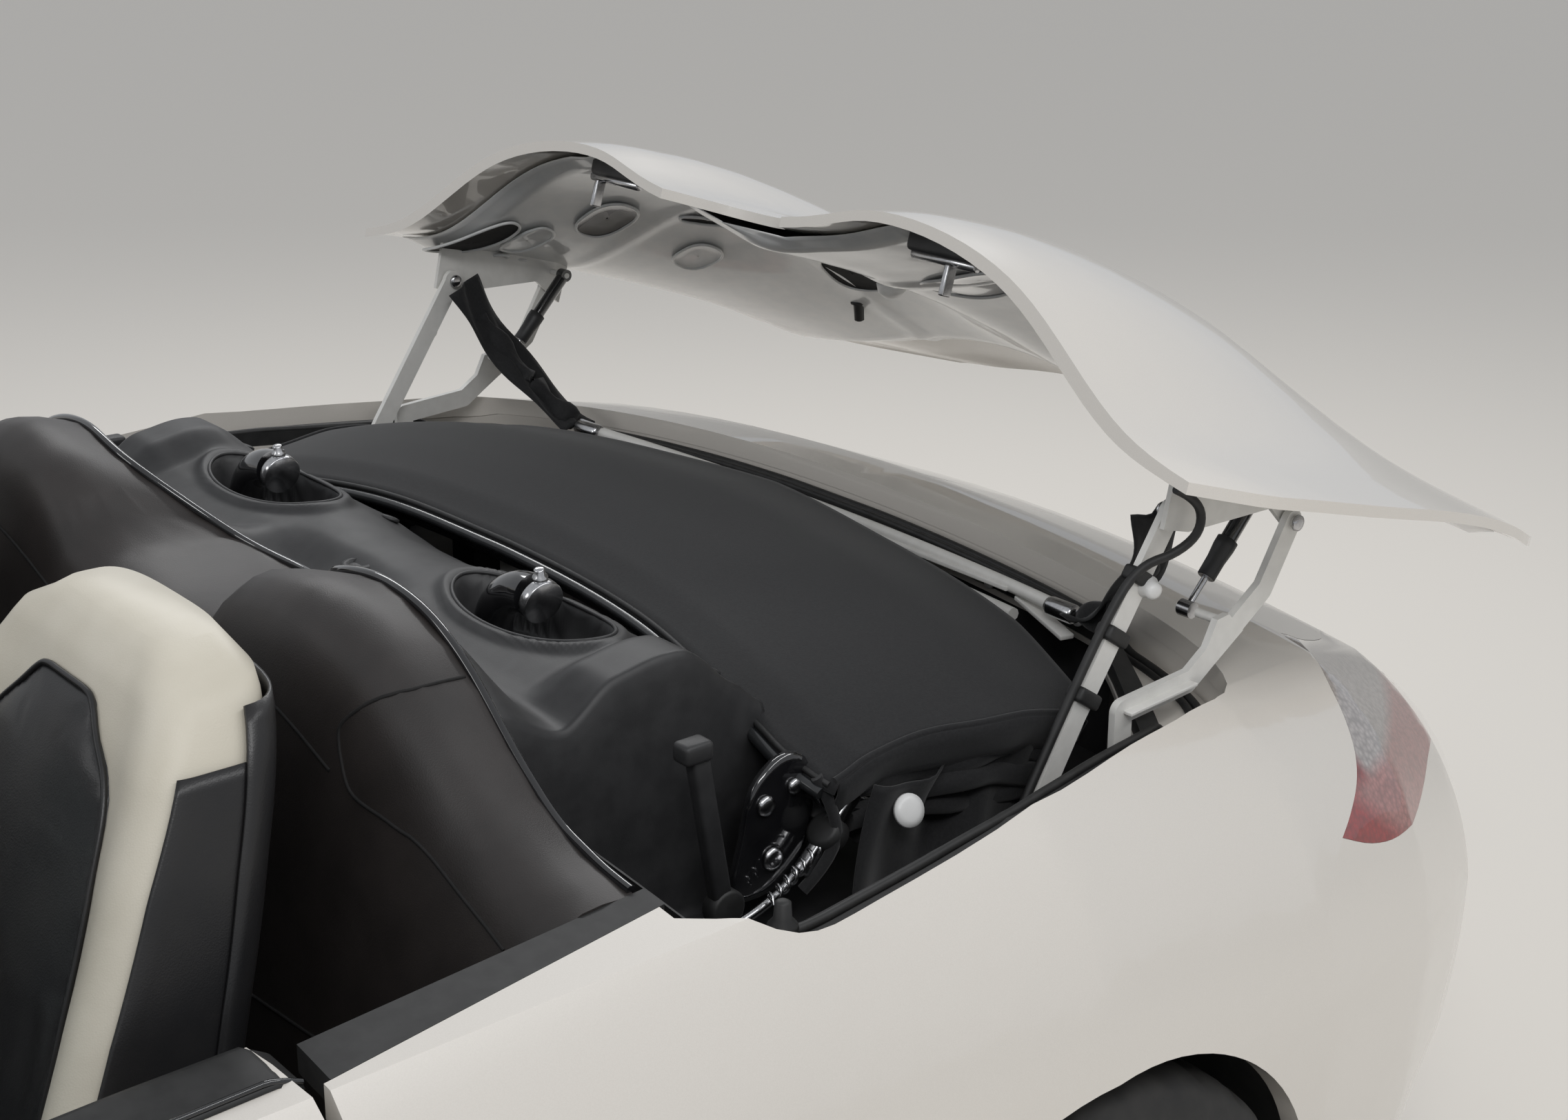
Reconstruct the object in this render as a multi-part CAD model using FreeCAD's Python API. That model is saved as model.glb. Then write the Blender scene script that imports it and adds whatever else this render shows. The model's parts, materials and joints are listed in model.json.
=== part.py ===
import FreeCAD, Part
import functools
import math
import os

# Mid-engined two-seat roadster with its tonneau cover raised over the folded top.
# Millimetres. +X forward, +Y left, +Z up, origin on the ground at mid-length.

V = FreeCAD.Vector
os.makedirs("parts", exist_ok=True)

# Overall and running gear sizes
LENGTH = 4440.0
FRONT_AXLE_X = 1210.0
REAR_AXLE_X = -1140.0
FRONT_TYRE_R = 323.5
REAR_TYRE_R = 333.0
FRONT_TYRE_W = 235.0
REAR_TYRE_W = 295.0
FRONT_WHEEL_Y = 746.0
REAR_WHEEL_Y = 765.0
RIM_R = 241.0
FRONT_ARCH_R = 354.0
REAR_ARCH_R = 362.0
STEER_AXIS_Y = 700.0

# Thicknesses and clearances
SKIN = 26.0
DOOR_THICK = 105.0
SILL_THICK = 90.0
LID_SKIN = 18.0
COVER_SKIN = 12.0
SHUT_GAP = 6.0
SEAT_FIT = 0.3

# Panel lines along X
NOSE_X = LENGTH / 2
TAIL_X = -LENGTH / 2
DOOR_FRONT_X = 690.0
DOOR_REAR_X = -446.0
DOOR_BOTTOM_Z = 300.0
DOOR_INNER_Y = 694.0
CABIN_FRONT_X = 640.0
CABIN_REAR_X = -770.0
CABIN_HALF_W = 690.0
COWL_FRONT_X = 850.0
HOOD_FRONT_X = 2030.0
RIM_FRONT_X = -764.0
RIM_REAR_X = -1640.0
LAMP_INNER_Y = 470.0
BUMPER_TOP_Z = 722.0
LAMP_END_X = -2010.0
BELT_FRONT_Y = 766.0
BELT_REAR_Y = 744.0
TRIM_HALF_W = 716.0
SILL_BOTTOM_Z = 170.0
FLOOR_THICK = 20.0
FLOOR_Z = SILL_BOTTOM_Z - FLOOR_THICK - SEAT_FIT
FLOOR_TOP_Z = FLOOR_Z + FLOOR_THICK + SEAT_FIT
JACK_PAD_X = (720.0, -660.0)
JACK_PAD_Y = 760.0
JACK_PAD_Z = 150.0

# Door hinges: the pin's place in plan, the heights of the pair, and the clear lip
DOOR_PIN = (620.0, 835.0)
DOOR_PIN_R = 5.0
DOOR_PIN_HEIGHTS = (410.0, 640.0)
DOOR_LIP_X = 600.0
DOOR_LIP_THICK = 8.0
FENDER_LIP_THICK = 6.0
PILLAR_X = 702.0
BULKHEAD_X = 716.0
BULKHEAD_THICK = 12.0

# Ring around the top's compartment: channel, seal and tub, from the body's face down
SEAL_INSET = 14.0
SEAL_WIDTH = 24.0
SEAL_TOP = 36.0
CHANNEL_TOP = 56.0
CHANNEL_WALL = 7.0
TUB_INSET = 22.0
SEAL_CORNER = ((-1418.0, 723.0), (-1590.0, 505.0))

# Tonneau cover linkage, in the side plane, cover raised
BETA = 15.0
CORNER_SHUT = (-780.0, 930.0)
CORNER_OPEN = (-1390.0, 1168.0)
FRONT_PIVOT_Z = 755.0
FRONT_ARM_HEAD = (-1470.0, 1095.0)
REAR_PIVOT_Z = 815.0
REAR_ARM_HEAD = (-1645.0, 1055.0)
STRUT_FOOT = (-1540.0, 968.0)
STRUT_HEAD = (-1646.9, 1083.6)
FRONT_ARM_Y = 664.0
RAIL_Y = 674.0
REAR_ARM_Y = 684.0
STRUT_Y = 640.0
CABLE_R = 4.0
# Route of the release cable, from the compartment up the left front arm to the cover
CABLE_ROUTE = [
    (-1265.0, 664.0, 809.4),
    (-1328.8, 664.0, 917.2),
    (-1398.0, 664.0, 1021.9),
    (-1424.0, 672.5, 1052.0),
    (-1450.0, 690.0, 1062.0),
    (-1474.0, 699.0, 1080.0),
    (-1478.0, 698.0, 1104.0),
    (-1462.0, 693.0, 1122.0),
    (-1444.0, 690.0, 1131.0),
]
RAIL_THICK = 6.0
ARM_THICK = 8.0
ARM_WIDTH = 26.0
PIN_R = 6.0

# Body sections, front to rear. Columns: x, sill z, sill y, widest z, widest y,
# shoulder z, shoulder y, crown z on the centre line.
BODY_SECTIONS = [
    (NOSE_X, 250, 400, 440, 450, 585, 340, 612),
    (2090, 200, 620, 460, 665, 650, 500, 682),
    (1900, 190, 760, 490, 805, 735, 620, 752),
    (1600, 190, 840, 530, 878, 800, 680, 812),
    (1210, 190, 860, 560, 905, 838, 700, 856),
    (850, 180, 830, 560, 885, 868, 720, 905),
    (400, 170, 800, 570, 862, 885, 745, 925),
    (-100, 170, 800, 580, 862, 893, 765, 930),
    (-446, 170, 810, 590, 875, 900, 775, 945),
    (-800, 180, 840, 600, 902, 922, 800, 965),
    (REAR_AXLE_X, 190, 870, 620, 926, 930, 792, 985),
    (-1500, 190, 850, 620, 900, 908, 715, 962),
    (-1750, 200, 800, 600, 842, 868, 650, 920),
    (-1950, 230, 720, 570, 765, 800, 575, 845),
    (-2100, 280, 620, 540, 660, 725, 480, 762),
    (TAIL_X, 330, 430, 510, 450, 610, 330, 640),
]
NOTCH_R = 126.0
NOTCH_DEPTH = 66.0
LOWER_BULGE = 14.0
SHOULDER_BULGE = 42.0

# Closed cover sections. Columns: x, edge y, edge z, flank foot y and z,
# flank y and z, bubble y and z, valley z on the centre line.
COVER_SECTIONS = [
    (-776, 752, 926, 672, 950, 480, 1068, 250, 1107, 1072),
    (-850, 807, 930, 676, 956, 480, 1076, 250, 1116, 1074),
    (-940, 811, 932, 676, 960, 476, 1078, 250, 1118, 1072),
    (-1140, 793, 932, 650, 964, 458, 1060, 250, 1098, 1054),
    (-1322, 751, 924, 604, 956, 430, 1018, 250, 1052, 1022),
    (-1440, 725, 912, 560, 940, 400, 984, 245, 1010, 994),
    (-1535, 695, 898, 500, 926, 370, 958, 235, 976, 972),
    (-1600, 572, 900, 430, 918, 320, 938, 200, 950, 956),
    (-1625, 360, 914, 300, 922, 230, 932, 150, 940, 946),
]

# How finely sections, lines and corners are smoothed
BODY_STEPS = 1
COVER_STEPS = 3
LINE_STEPS = 4
CORNER_STEPS = 5

# Rim of the top's compartment, left half, front to rear. Columns: x, y.
RIM_SIDE = [(-790, 785), (-850, 818), (-940, 818), (-1140, 800), (-1322, 758)]
RIM_CORNER = [(-1440, 732), (-1540, 700), (-1606, 580), (-1632, 370)]


def box(x0, x1, y0, y1, z0, z1):
    return Part.makeBox(x1 - x0, y1 - y0, z1 - z0, V(x0, y0, z0))


def rod(start, end, radius):
    a, b = V(*start), V(*end)
    return Part.makeCylinder(radius, (b - a).Length, a, b - a)


def tube(start, end, outer, inner):
    return rod(start, end, outer).cut(rod(start, end, inner))


def face_of(points):
    return Part.Face(Part.makePolygon(points + [points[0]]))


def plan_prism(outline, z0, z1):
    """Solid over a plan outline of (x, y) points."""
    return face_of([V(x, y, z0) for x, y in outline]).extrude(V(0, 0, z1 - z0))


def side_prism(outline, y0, y1):
    """Solid across a side outline of (x, z) points."""
    return face_of([V(x, y0, z) for x, z in outline]).extrude(V(0, y1 - y0, 0))


def front_prism(outline, x0, x1):
    """Solid along a front outline of (y, z) points."""
    return face_of([V(x0, y, z) for y, z in outline]).extrude(V(x1 - x0, 0, 0))


def mirrored(shape):
    return shape.mirror(V(0, 0, 0), V(0, 1, 0))


def both_sides(half):
    """A half outline of (x, y) points, closed through its mirror image."""
    return half + [(x, -y) for x, y in reversed(half) if y > 0]


def inset(outline, distance):
    """The outline moved inwards by a distance, corner by corner."""
    count = len(outline)
    area = sum(
        outline[i][0] * outline[(i + 1) % count][1]
        - outline[(i + 1) % count][0] * outline[i][1]
        for i in range(count)
    )
    turn = 1.0 if area > 0 else -1.0
    lines = []
    for i in range(count):
        (ax, ay), (bx, by) = outline[i], outline[(i + 1) % count]
        span = math.hypot(bx - ax, by - ay)
        nx, ny = -(by - ay) / span * turn, (bx - ax) / span * turn
        lines.append((ax + nx * distance, ay + ny * distance, bx - ax, by - ay))
    moved = []
    for i in range(count):
        ax, ay, adx, ady = lines[i - 1]
        bx, by, bdx, bdy = lines[i]
        cross = adx * bdy - ady * bdx
        t = ((bx - ax) * bdy - (by - ay) * bdx) / cross
        moved.append((ax + adx * t, ay + ady * t))
    return moved


def smooth_rows(rows, steps):
    """Rows with more between each pair, on cubics through each column that never overshoot."""
    def rise(i, column):
        return (rows[i + 1][column] - rows[i][column]) / (rows[i + 1][0] - rows[i][0])

    def slope(i, column):
        if i == 0 or i == len(rows) - 1:
            return rise(min(i, len(rows) - 2), column)
        before, after = rise(i - 1, column), rise(i, column)
        return 0.0 if before * after <= 0 else 2 * before * after / (before + after)

    dense = [tuple(rows[0])]
    for i in range(len(rows) - 1):
        span = rows[i + 1][0] - rows[i][0]
        for step in range(1, steps + 1):
            t = step / steps
            row = [rows[i][0] + span * t]
            for c in range(1, len(rows[i])):
                near = (1 + 2 * t) * (1 - t) ** 2 * rows[i][c] + t * (1 - t) ** 2 * span * slope(i, c)
                far = t * t * (3 - 2 * t) * rows[i + 1][c] + t * t * (t - 1) * span * slope(i + 1, c)
                row.append(near + far)
            dense.append(tuple(row))
    return dense


def smooth_line(points, steps):
    """Plan points with more between each pair, on a curve through all of them."""
    ends = [points[0]] + points + [points[-1]]
    dense = [points[0]]
    for a, b, c, d in zip(ends, ends[1:], ends[2:], ends[3:]):
        for step in range(1, steps + 1):
            t = step / steps
            dense.append(tuple(
                0.5 * (2 * q + (r - p) * t + (2 * p - 5 * q + 4 * r - s) * t ** 2 + (3 * q - p - 3 * r + s) * t ** 3)
                for p, q, r, s in zip(a, b, c, d)
            ))
    return dense


def rounded(outline, radii):
    """The outline with arcs of points at its corners, one radius for each."""
    made = []
    for i, (x, y) in enumerate(outline):
        if radii[i] == 0:
            made.append((x, y))
            continue
        ax, ay = outline[i - 1][0] - x, outline[i - 1][1] - y
        bx, by = outline[(i + 1) % len(outline)][0] - x, outline[(i + 1) % len(outline)][1] - y
        la, lb = math.hypot(ax, ay), math.hypot(bx, by)
        half = math.acos((ax * bx + ay * by) / (la * lb)) / 2
        back = min(radii[i] / math.tan(half), 0.45 * la, 0.45 * lb)
        start, end = (x + ax / la * back, y + ay / la * back), (x + bx / lb * back, y + by / lb * back)
        for step in range(CORNER_STEPS + 1):
            t = step / CORNER_STEPS
            made.append((
                (1 - t) ** 2 * start[0] + 2 * t * (1 - t) * x + t * t * end[0],
                (1 - t) ** 2 * start[1] + 2 * t * (1 - t) * y + t * t * end[1],
            ))
    return made


def one(shape):
    """The single largest solid of a shape."""
    return max(shape.Solids, key=lambda solid: solid.Volume)


def fused(shapes):
    whole = shapes[0].multiFuse(shapes[1:]) if len(shapes) > 1 else shapes[0]
    return whole.removeSplitter()


def save(name, solids):
    """Writes a node's solids to its own file and reports them."""
    solids = [s for shape in solids for s in shape.Solids]
    whole = solids[0] if len(solids) == 1 else Part.makeCompound(solids)
    whole.exportStep("parts/" + name + ".step")
    volume = sum(s.Volume for s in solids) / 1e9
    print(name, len(solids), "solids", round(volume, 5), "m3", whole.isValid())
    NODES[name] = whole
    return whole


NODES = {}


def bulged(a, b, bulge):
    """The middle of the arc from a to b, pushed out to its left by a bulge."""
    span = math.hypot(b[0] - a[0], b[1] - a[1])
    nx, ny = (b[1] - a[1]) / span, -(b[0] - a[0]) / span
    return ((a[0] + b[0]) / 2 + nx * bulge, (a[1] + b[1]) / 2 + ny * bulge)


def half_crown(shoulder, crown):
    """The middle of the arc from the shoulder to the crown of a symmetric arc."""
    y, rise = shoulder[0], crown[1] - shoulder[1]
    radius = (y * y + rise * rise) / (2 * rise)
    angle = math.asin(y / radius) / 2
    return (radius * math.sin(angle), crown[1] - radius * (1 - math.cos(angle)))


def section_arcs(section, skin):
    """Three arcs of (y, z) points from the left sill to the crown."""
    x, sill_z, sill_y, wide_z, wide_y, high_z, high_y, crown_z = section
    sill = (sill_y - skin, sill_z)
    wide = (wide_y - skin, wide_z)
    high = (high_y - 0.6 * skin, high_z - 0.85 * skin)
    crown = (0.0, crown_z - skin)
    return [
        (sill, bulged(sill, wide, LOWER_BULGE), wide),
        (wide, bulged(wide, high, SHOULDER_BULGE), high),
        (high, half_crown(high, crown), crown),
    ]


def arc_edge(x, a, m, b):
    return Part.Arc(V(x, *a), V(x, *m), V(x, *b)).toShape()


def line_edge(x, a, b):
    return Part.LineSegment(V(x, *a), V(x, *b)).toShape()


def flip(point):
    return (-point[0], point[1])


def shell_wire(section, skin, full):
    """Closed wire of a thick body section, the left half or the full width."""
    x = section[0]
    outer, inner = section_arcs(section, 0.0), section_arcs(section, skin)
    edges = [arc_edge(x, a, m, b) for a, m, b in outer]
    if full:
        edges += [arc_edge(x, flip(b), flip(m), flip(a)) for a, m, b in reversed(outer)]
        edges.append(line_edge(x, flip(outer[0][0]), flip(inner[0][0])))
        edges += [arc_edge(x, flip(a), flip(m), flip(b)) for a, m, b in inner]
    else:
        edges.append(line_edge(x, outer[-1][2], inner[-1][2]))
    edges += [arc_edge(x, b, m, a) for a, m, b in reversed(inner)]
    edges.append(line_edge(x, inner[0][0], outer[0][0]))
    return Part.Wire(edges)


def body_shell(skin, full):
    sections = smooth_rows(BODY_SECTIONS, BODY_STEPS)
    return Part.makeLoft([shell_wire(s, skin, full) for s in sections], True, True)


def core_wire(section, skin):
    """Closed wire of the space inside the body, at a distance from its outer face."""
    x = section[0]
    inner = section_arcs(section, skin)
    edges = [arc_edge(x, a, m, b) for a, m, b in inner]
    edges += [arc_edge(x, flip(b), flip(m), flip(a)) for a, m, b in reversed(inner)]
    edges.append(line_edge(x, flip(inner[0][0]), inner[0][0]))
    return Part.Wire(edges)


@functools.lru_cache(maxsize=None)
def body_core(skin):
    """The space inside the body, to trim what stands in it."""
    sections = smooth_rows(BODY_SECTIONS, BODY_STEPS)
    return Part.makeLoft([core_wire(s, skin) for s in sections], True, True)


def wheel_hole(x, z, radius):
    return Part.makeCylinder(radius, 2400, V(x, -1200, z), V(0, 1, 0))


# Outlines that panels share
DOOR_SIDE = rounded([
    (DOOR_FRONT_X, 1100),
    (DOOR_FRONT_X - 20, 470),
    (DOOR_FRONT_X - 90, DOOR_BOTTOM_Z),
    (DOOR_REAR_X + 70, DOOR_BOTTOM_Z),
    (DOOR_REAR_X, 420),
    (DOOR_REAR_X, 1100),
], [0, 150, 70, 70, 150, 0])
CABIN_PLAN = both_sides([
    (CABIN_FRONT_X, CABIN_HALF_W),
    (DOOR_REAR_X, CABIN_HALF_W),
    (DOOR_REAR_X, BELT_FRONT_Y),
    (CABIN_REAR_X, BELT_REAR_Y),
])
RIM_PLAN = both_sides(
    [(RIM_FRONT_X, 764)] + smooth_line(RIM_SIDE + RIM_CORNER + [(RIM_REAR_X, 60)], LINE_STEPS)
)
FRONT_LINER_R = 388.0
REAR_LINER_R = 376.0
LINER_THICK = 8.0
HOOD_PLAN = both_sides(smooth_line([
    (COWL_FRONT_X, 640),
    (1250, 610),
    (1700, 540),
    (1900, 440),
    (1990, 300),
    (HOOD_FRONT_X, 60),
], LINE_STEPS))
COWL_PLAN = both_sides([(CABIN_FRONT_X, 660), (COWL_FRONT_X, 645)])
LAMP_TIP = (-1581.0, 763.0)
LAMP_FOOT = smooth_line([LAMP_TIP, (-1642, 736), (-1709, 719), (-1790, 716), (-1900, BUMPER_TOP_Z)], LINE_STEPS)
LAMP_HEAD = smooth_line([
    (LAMP_END_X, 792), (-1900, 822), (-1817, 850), (-1771, 867), (-1736, 852),
    (-1713, 828), (-1689, 804), (-1658, 786), (-1616, 772), LAMP_TIP,
], LINE_STEPS)
REAR_BUMPER_SIDE = [(-1225, 100), (-1225, 640)]
REAR_BUMPER_SIDE += smooth_line([(-1335, 646), (-1410, 665), (-1494, 713), (-1552, 751)], LINE_STEPS)
REAR_BUMPER_SIDE += LAMP_FOOT + [(-2400, BUMPER_TOP_Z), (-2400, 100)]
LAMP_SIDE = LAMP_FOOT + [(LAMP_END_X, BUMPER_TOP_Z)] + LAMP_HEAD[:-1]
FRONT_BUMPER_SIDE = rounded([
    (1290, 100),
    (1290, 520),
    (1560, 560),
    (1760, 640),
    (2400, 640),
    (2400, 100),
], [0, 0, 300, 300, 0, 0])
HEADLAMP_CENTRE = (1800.0, 650.0)
HEADLAMP_R = 112.0


def panels():
    """Fixed and hinged body panels, all cut from one thick shell."""
    left = body_shell(SKIN, False)
    full = body_shell(SKIN, True)
    lid_shell = body_shell(LID_SKIN, True)
    arches = [
        wheel_hole(FRONT_AXLE_X, FRONT_TYRE_R, FRONT_ARCH_R),
        wheel_hole(REAR_AXLE_X, REAR_TYRE_R, REAR_ARCH_R),
    ]
    rear_bumper_cut = side_prism(REAR_BUMPER_SIDE, -1200, 1200)
    front_bumper_cut = side_prism(FRONT_BUMPER_SIDE, -1200, 1200)
    rim = plan_prism(RIM_PLAN, 500, 1300)
    hood = plan_prism(HOOD_PLAN, 400, 1300)
    cowl = plan_prism(COWL_PLAN, 400, 1300)
    cabin = plan_prism(CABIN_PLAN, 100, 1300)
    door_hole = side_prism(DOOR_SIDE, -1200, 1200)
    headlamp = headlamp_bore(HEADLAMP_R)

    # Front fender: ahead of the door, above the bumper, outside the hood
    fender = left.common(box(DOOR_FRONT_X - 25, NOSE_X, 0, 1000, 100, 1200))
    fender = fender.cut(door_hole).cut(front_bumper_cut).cut(hood).cut(cowl).cut(cabin)
    swing = box(DOOR_FRONT_X - 30, DOOR_FRONT_X + 45, 0, 1200, DOOR_BOTTOM_Z - 10, 840)
    fender = fender.cut(body_core(FENDER_LIP_THICK).common(swing))
    fender = one(fender.cut(arches[0]).cut(headlamp))
    save("front_fenders", [fender, mirrored(fender)])

    # Rear body: both quarters and the deck between the lamps, one welded panel
    rear = full.common(box(TAIL_X, DOOR_REAR_X + 75, -1000, 1000, 100, 1200))
    rear = rear.cut(door_hole).cut(rear_bumper_cut).cut(rim).cut(cabin).cut(arches[1])
    lamp_hole = side_prism(LAMP_SIDE, LAMP_INNER_Y, 1200)
    rear = rear.cut(lamp_hole).cut(mirrored(lamp_hole))
    sill_top = DOOR_BOTTOM_Z - SHUT_GAP
    rear = one(rear.cut(box(-800, DOOR_REAR_X + 80, -1200, 1200, 0, sill_top + SEAT_FIT)))
    save("rear_body", [rear])
    belt = left.common(plan_prism([
        (DOOR_REAR_X - SHUT_GAP, TRIM_HALF_W + SEAT_FIT),
        (DOOR_REAR_X - SHUT_GAP, BELT_FRONT_Y - SEAT_FIT - 0.6),
        (CABIN_REAR_X + SEAT_FIT, BELT_REAR_Y - SEAT_FIT),
        (CABIN_REAR_X + SEAT_FIT, TRIM_HALF_W + SEAT_FIT),
    ], 500, 1200))
    save("belt_strips", [one(belt), mirrored(one(belt))])

    # Bumpers
    rear = full.common(rear_bumper_cut).cut(arches[1])
    rear = rear.cut(box(-1300, -1000, -1000, 1000, 0, REAR_TYRE_R - 60))
    tail_wall = full.common(box(TAIL_X, TAIL_X + 200, -600, 600, 100, BUMPER_TOP_Z))
    end = Part.Face(core_wire(BODY_SECTIONS[-1], 0.0)).extrude(V(SKIN, 0, 0))
    rear = fused([one(rear), end, one(tail_wall)])
    rear = one(rear.cut(box(-2400, -1900, -1000, 1000, 0, 335)))
    save("rear_bumper", [rear])
    front = full.common(front_bumper_cut).cut(arches[0]).cut(hood).cut(headlamp)
    front = front.cut(mirrored(headlamp))
    nose = Part.Face(core_wire(BODY_SECTIONS[0], 0.0)).extrude(V(-SKIN, 0, 0))
    intakes = box(2100, 2400, -300, 300, 300, 400)
    front = fused([one(front), nose]).cut(intakes)
    save("front_bumper", [one(front)])

    # Sills under the doors, with the jacking pads
    sill_shell = body_shell(SILL_THICK, False)
    sill = sill_shell.common(box(-790, 860, 600, 1200, 100, sill_top))
    front_clear = FRONT_LINER_R + LINER_THICK + 2
    rear_clear = REAR_LINER_R + LINER_THICK + 2
    sill = sill.cut(wheel_hole(FRONT_AXLE_X, FRONT_TYRE_R, front_clear))
    sill = one(sill.cut(wheel_hole(REAR_AXLE_X, REAR_TYRE_R, rear_clear)))
    sill = one(sill.cut(NODES["front_fenders"]).cut(NODES["rear_body"]))
    pads = [
        box(x - 35, x + 35, JACK_PAD_Y - 25, JACK_PAD_Y + 25, JACK_PAD_Z, JACK_PAD_Z + 60)
        for x in JACK_PAD_X
    ]
    sill = one(fused([sill] + pads))
    save("sills", [sill, mirrored(sill)])

    doors()

    # Hood and the black panel at the foot of the windscreen
    save("hood", [one(lid_shell.common(plan_prism(inset(HOOD_PLAN, SHUT_GAP), 600, 1300)))])
    cowl_piece = lid_shell.common(plan_prism(inset(COWL_PLAN, SEAT_FIT), 600, 1300))
    save("cowl_panel", [one(cowl_piece)])

    # Lamps fill their cut-outs
    lamp = left.common(side_prism(inset(LAMP_SIDE, SEAT_FIT), LAMP_INNER_Y + SEAT_FIT, 1200))
    lamp = one(lamp)
    save("tail_lamps", [lamp, mirrored(lamp)])
    lens = one(left.common(headlamp_bore(HEADLAMP_R - SEAT_FIT)))
    save("headlamps", [lens, mirrored(lens)])


def headlamp_bore(radius):
    head_x, head_y = HEADLAMP_CENTRE
    return Part.makeCylinder(radius, 700, V(head_x - 60, head_y, 560), V(0.35, 0, 1))


def doors():
    """Doors as thick as the whole door, with a thin lip ahead of the hinge pins."""
    pin_x, pin_y = DOOR_PIN
    shell = body_shell(DOOR_THICK, False)
    door = shell.common(side_prism(inset(DOOR_SIDE, SHUT_GAP), DOOR_INNER_Y, 1200))
    taper = plan_prism(
        [(DOOR_REAR_X + SHUT_GAP - 2, 860), (DOOR_REAR_X - 5, 500), (DOOR_REAR_X + 45, 500)],
        100, 1200,
    )
    door = door.cut(box(-600, 800, 0, 1200, 905, 1300)).cut(taper)
    lip_room = box(DOOR_LIP_X, 800, 0, 1200, 0, 1300).common(body_core(DOOR_LIP_THICK))
    parts = [one(door.cut(lip_room))]
    for height in DOOR_PIN_HEIGHTS:
        parts.append(rod((pin_x, pin_y, height - 22), (pin_x, pin_y, height + 22), DOOR_PIN_R))
        for low in (height - 22, height + 9):
            parts.append(rod((pin_x, pin_y, low), (pin_x, pin_y, low + 13), 12))
            parts.append(box(DOOR_LIP_X - 8, pin_x, pin_y - 12, pin_y + 12, low, low + 13))
    door = one(fused(parts))
    save("door_left", [door])
    save("door_right", [mirrored(door)])


def hinge_arm(height):
    """The body's half of a door hinge: an eye on a bent plate."""
    pin_x, pin_y = DOOR_PIN
    low, high = height - 9 + SEAT_FIT, height + 9 - SEAT_FIT
    plate = plan_prism([
        (pin_x - 8, pin_y - 4), (pin_x + 22, pin_y - 55), (PILLAR_X, 690), (PILLAR_X + 6, 690),
        (PILLAR_X + 6, 716), (pin_x + 42, pin_y - 50), (pin_x + 9, pin_y + 3),
    ], low, high)
    eye = rod((pin_x, pin_y, low), (pin_x, pin_y, high), 11)
    bore = rod((pin_x, pin_y, low - 1), (pin_x, pin_y, high + 1), DOOR_PIN_R + SEAT_FIT)
    return plate.fuse(eye).cut(bore)


def structure():
    """Floor with bulkhead and door pillars, wheel liners and the luggage tub."""
    front_span, rear_span = FRONT_LINER_R + LINER_THICK + 4, REAR_LINER_R + LINER_THICK + 4
    plan = both_sides([
        (2000, 520),
        (FRONT_AXLE_X + front_span, 560),
        (FRONT_AXLE_X + front_span, 425),
        (FRONT_AXLE_X - front_span, 425),
        (FRONT_AXLE_X - front_span, 700),
        (400, 700),
        (400, 740),
        (-440, 740),
        (-440, 700),
        (REAR_AXLE_X + rear_span, 700),
        (REAR_AXLE_X + rear_span, 585),
        (REAR_AXLE_X - rear_span, 585),
        (REAR_AXLE_X - rear_span, 640),
        (-2000, 560),
    ])
    parts = [plan_prism(plan, FLOOR_Z, FLOOR_Z + FLOOR_THICK)]
    wall_x = TRIM_KNEE[0] - TRIM_THICK - SEAT_FIT
    parts.append(box(wall_x - 12, wall_x, -600, 600, FLOOR_Z, TRIM_KNEE[1]))
    bulkhead = box(BULKHEAD_X, BULKHEAD_X + BULKHEAD_THICK, -700, 700, FLOOR_Z, 900)
    parts.append(bulkhead.common(body_core(SKIN + SEAT_FIT)))
    for side in (1, -1):
        pieces = [box(PILLAR_X, BULKHEAD_X + 1, DASH_HALF_W + SHUT_GAP, 716, FLOOR_Z, 700)]
        pieces += [hinge_arm(height) for height in DOOR_PIN_HEIGHTS]
        parts += [piece if side == 1 else mirrored(piece) for piece in pieces]
    save("floor_pan", [one(fused(parts))])

    liners = []
    wells = [
        (FRONT_AXLE_X, FRONT_TYRE_R, FRONT_LINER_R, 432.0, 852.0),
        (REAR_AXLE_X, REAR_TYRE_R, REAR_LINER_R, 592.0, 880.0),
    ]
    for x, z, radius, inner_y, outer_y in wells:
        start = (x, inner_y, z)
        ring = tube(start, (x, outer_y, z), radius + LINER_THICK, radius)
        wall = rod(start, (x, inner_y + LINER_THICK, z), radius + LINER_THICK)
        liner = fused([ring, wall]).cut(box(x - 500, x + 500, 0, 1000, 0, z - 40))
        axle_gap = box(x - 75, x + 75, inner_y - 1, inner_y + 10, z - 60, z + 130)
        liner = one(liner.cut(axle_gap).common(body_core(SKIN + SEAT_FIT)))
        liners += [liner, mirrored(liner)]
    save("wheel_liners", liners)

    # Luggage tub, its flange under the panels and the hood's rubber seat
    under = body_core(SKIN + SEAT_FIT)
    flange = under.cut(body_core(SKIN + 8)).common(plan_prism(inset(HOOD_PLAN, -22), 500, 1200))
    well = box(890, 1880, -405, 405, 260, 1100)
    tub_wall = box(884, 1886, -411, 411, 254, 1100).cut(well).common(under)
    seat_ring = plan_prism(inset(HOOD_PLAN, 8), 500, 1200)
    seat_ring = seat_ring.cut(plan_prism(inset(HOOD_PLAN, 18), 500, 1200))
    seat_ring = seat_ring.cut(box(700, COWL_FRONT_X + 30, -900, 900, 400, 1300))
    seat_ring = seat_ring.common(body_core(LID_SKIN + SEAT_FIT)).cut(body_core(SKIN + 4))
    tub = fused([one(flange.cut(well)), one(tub_wall), one(seat_ring)])
    save("luggage_tub", [one(tub)])


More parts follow.
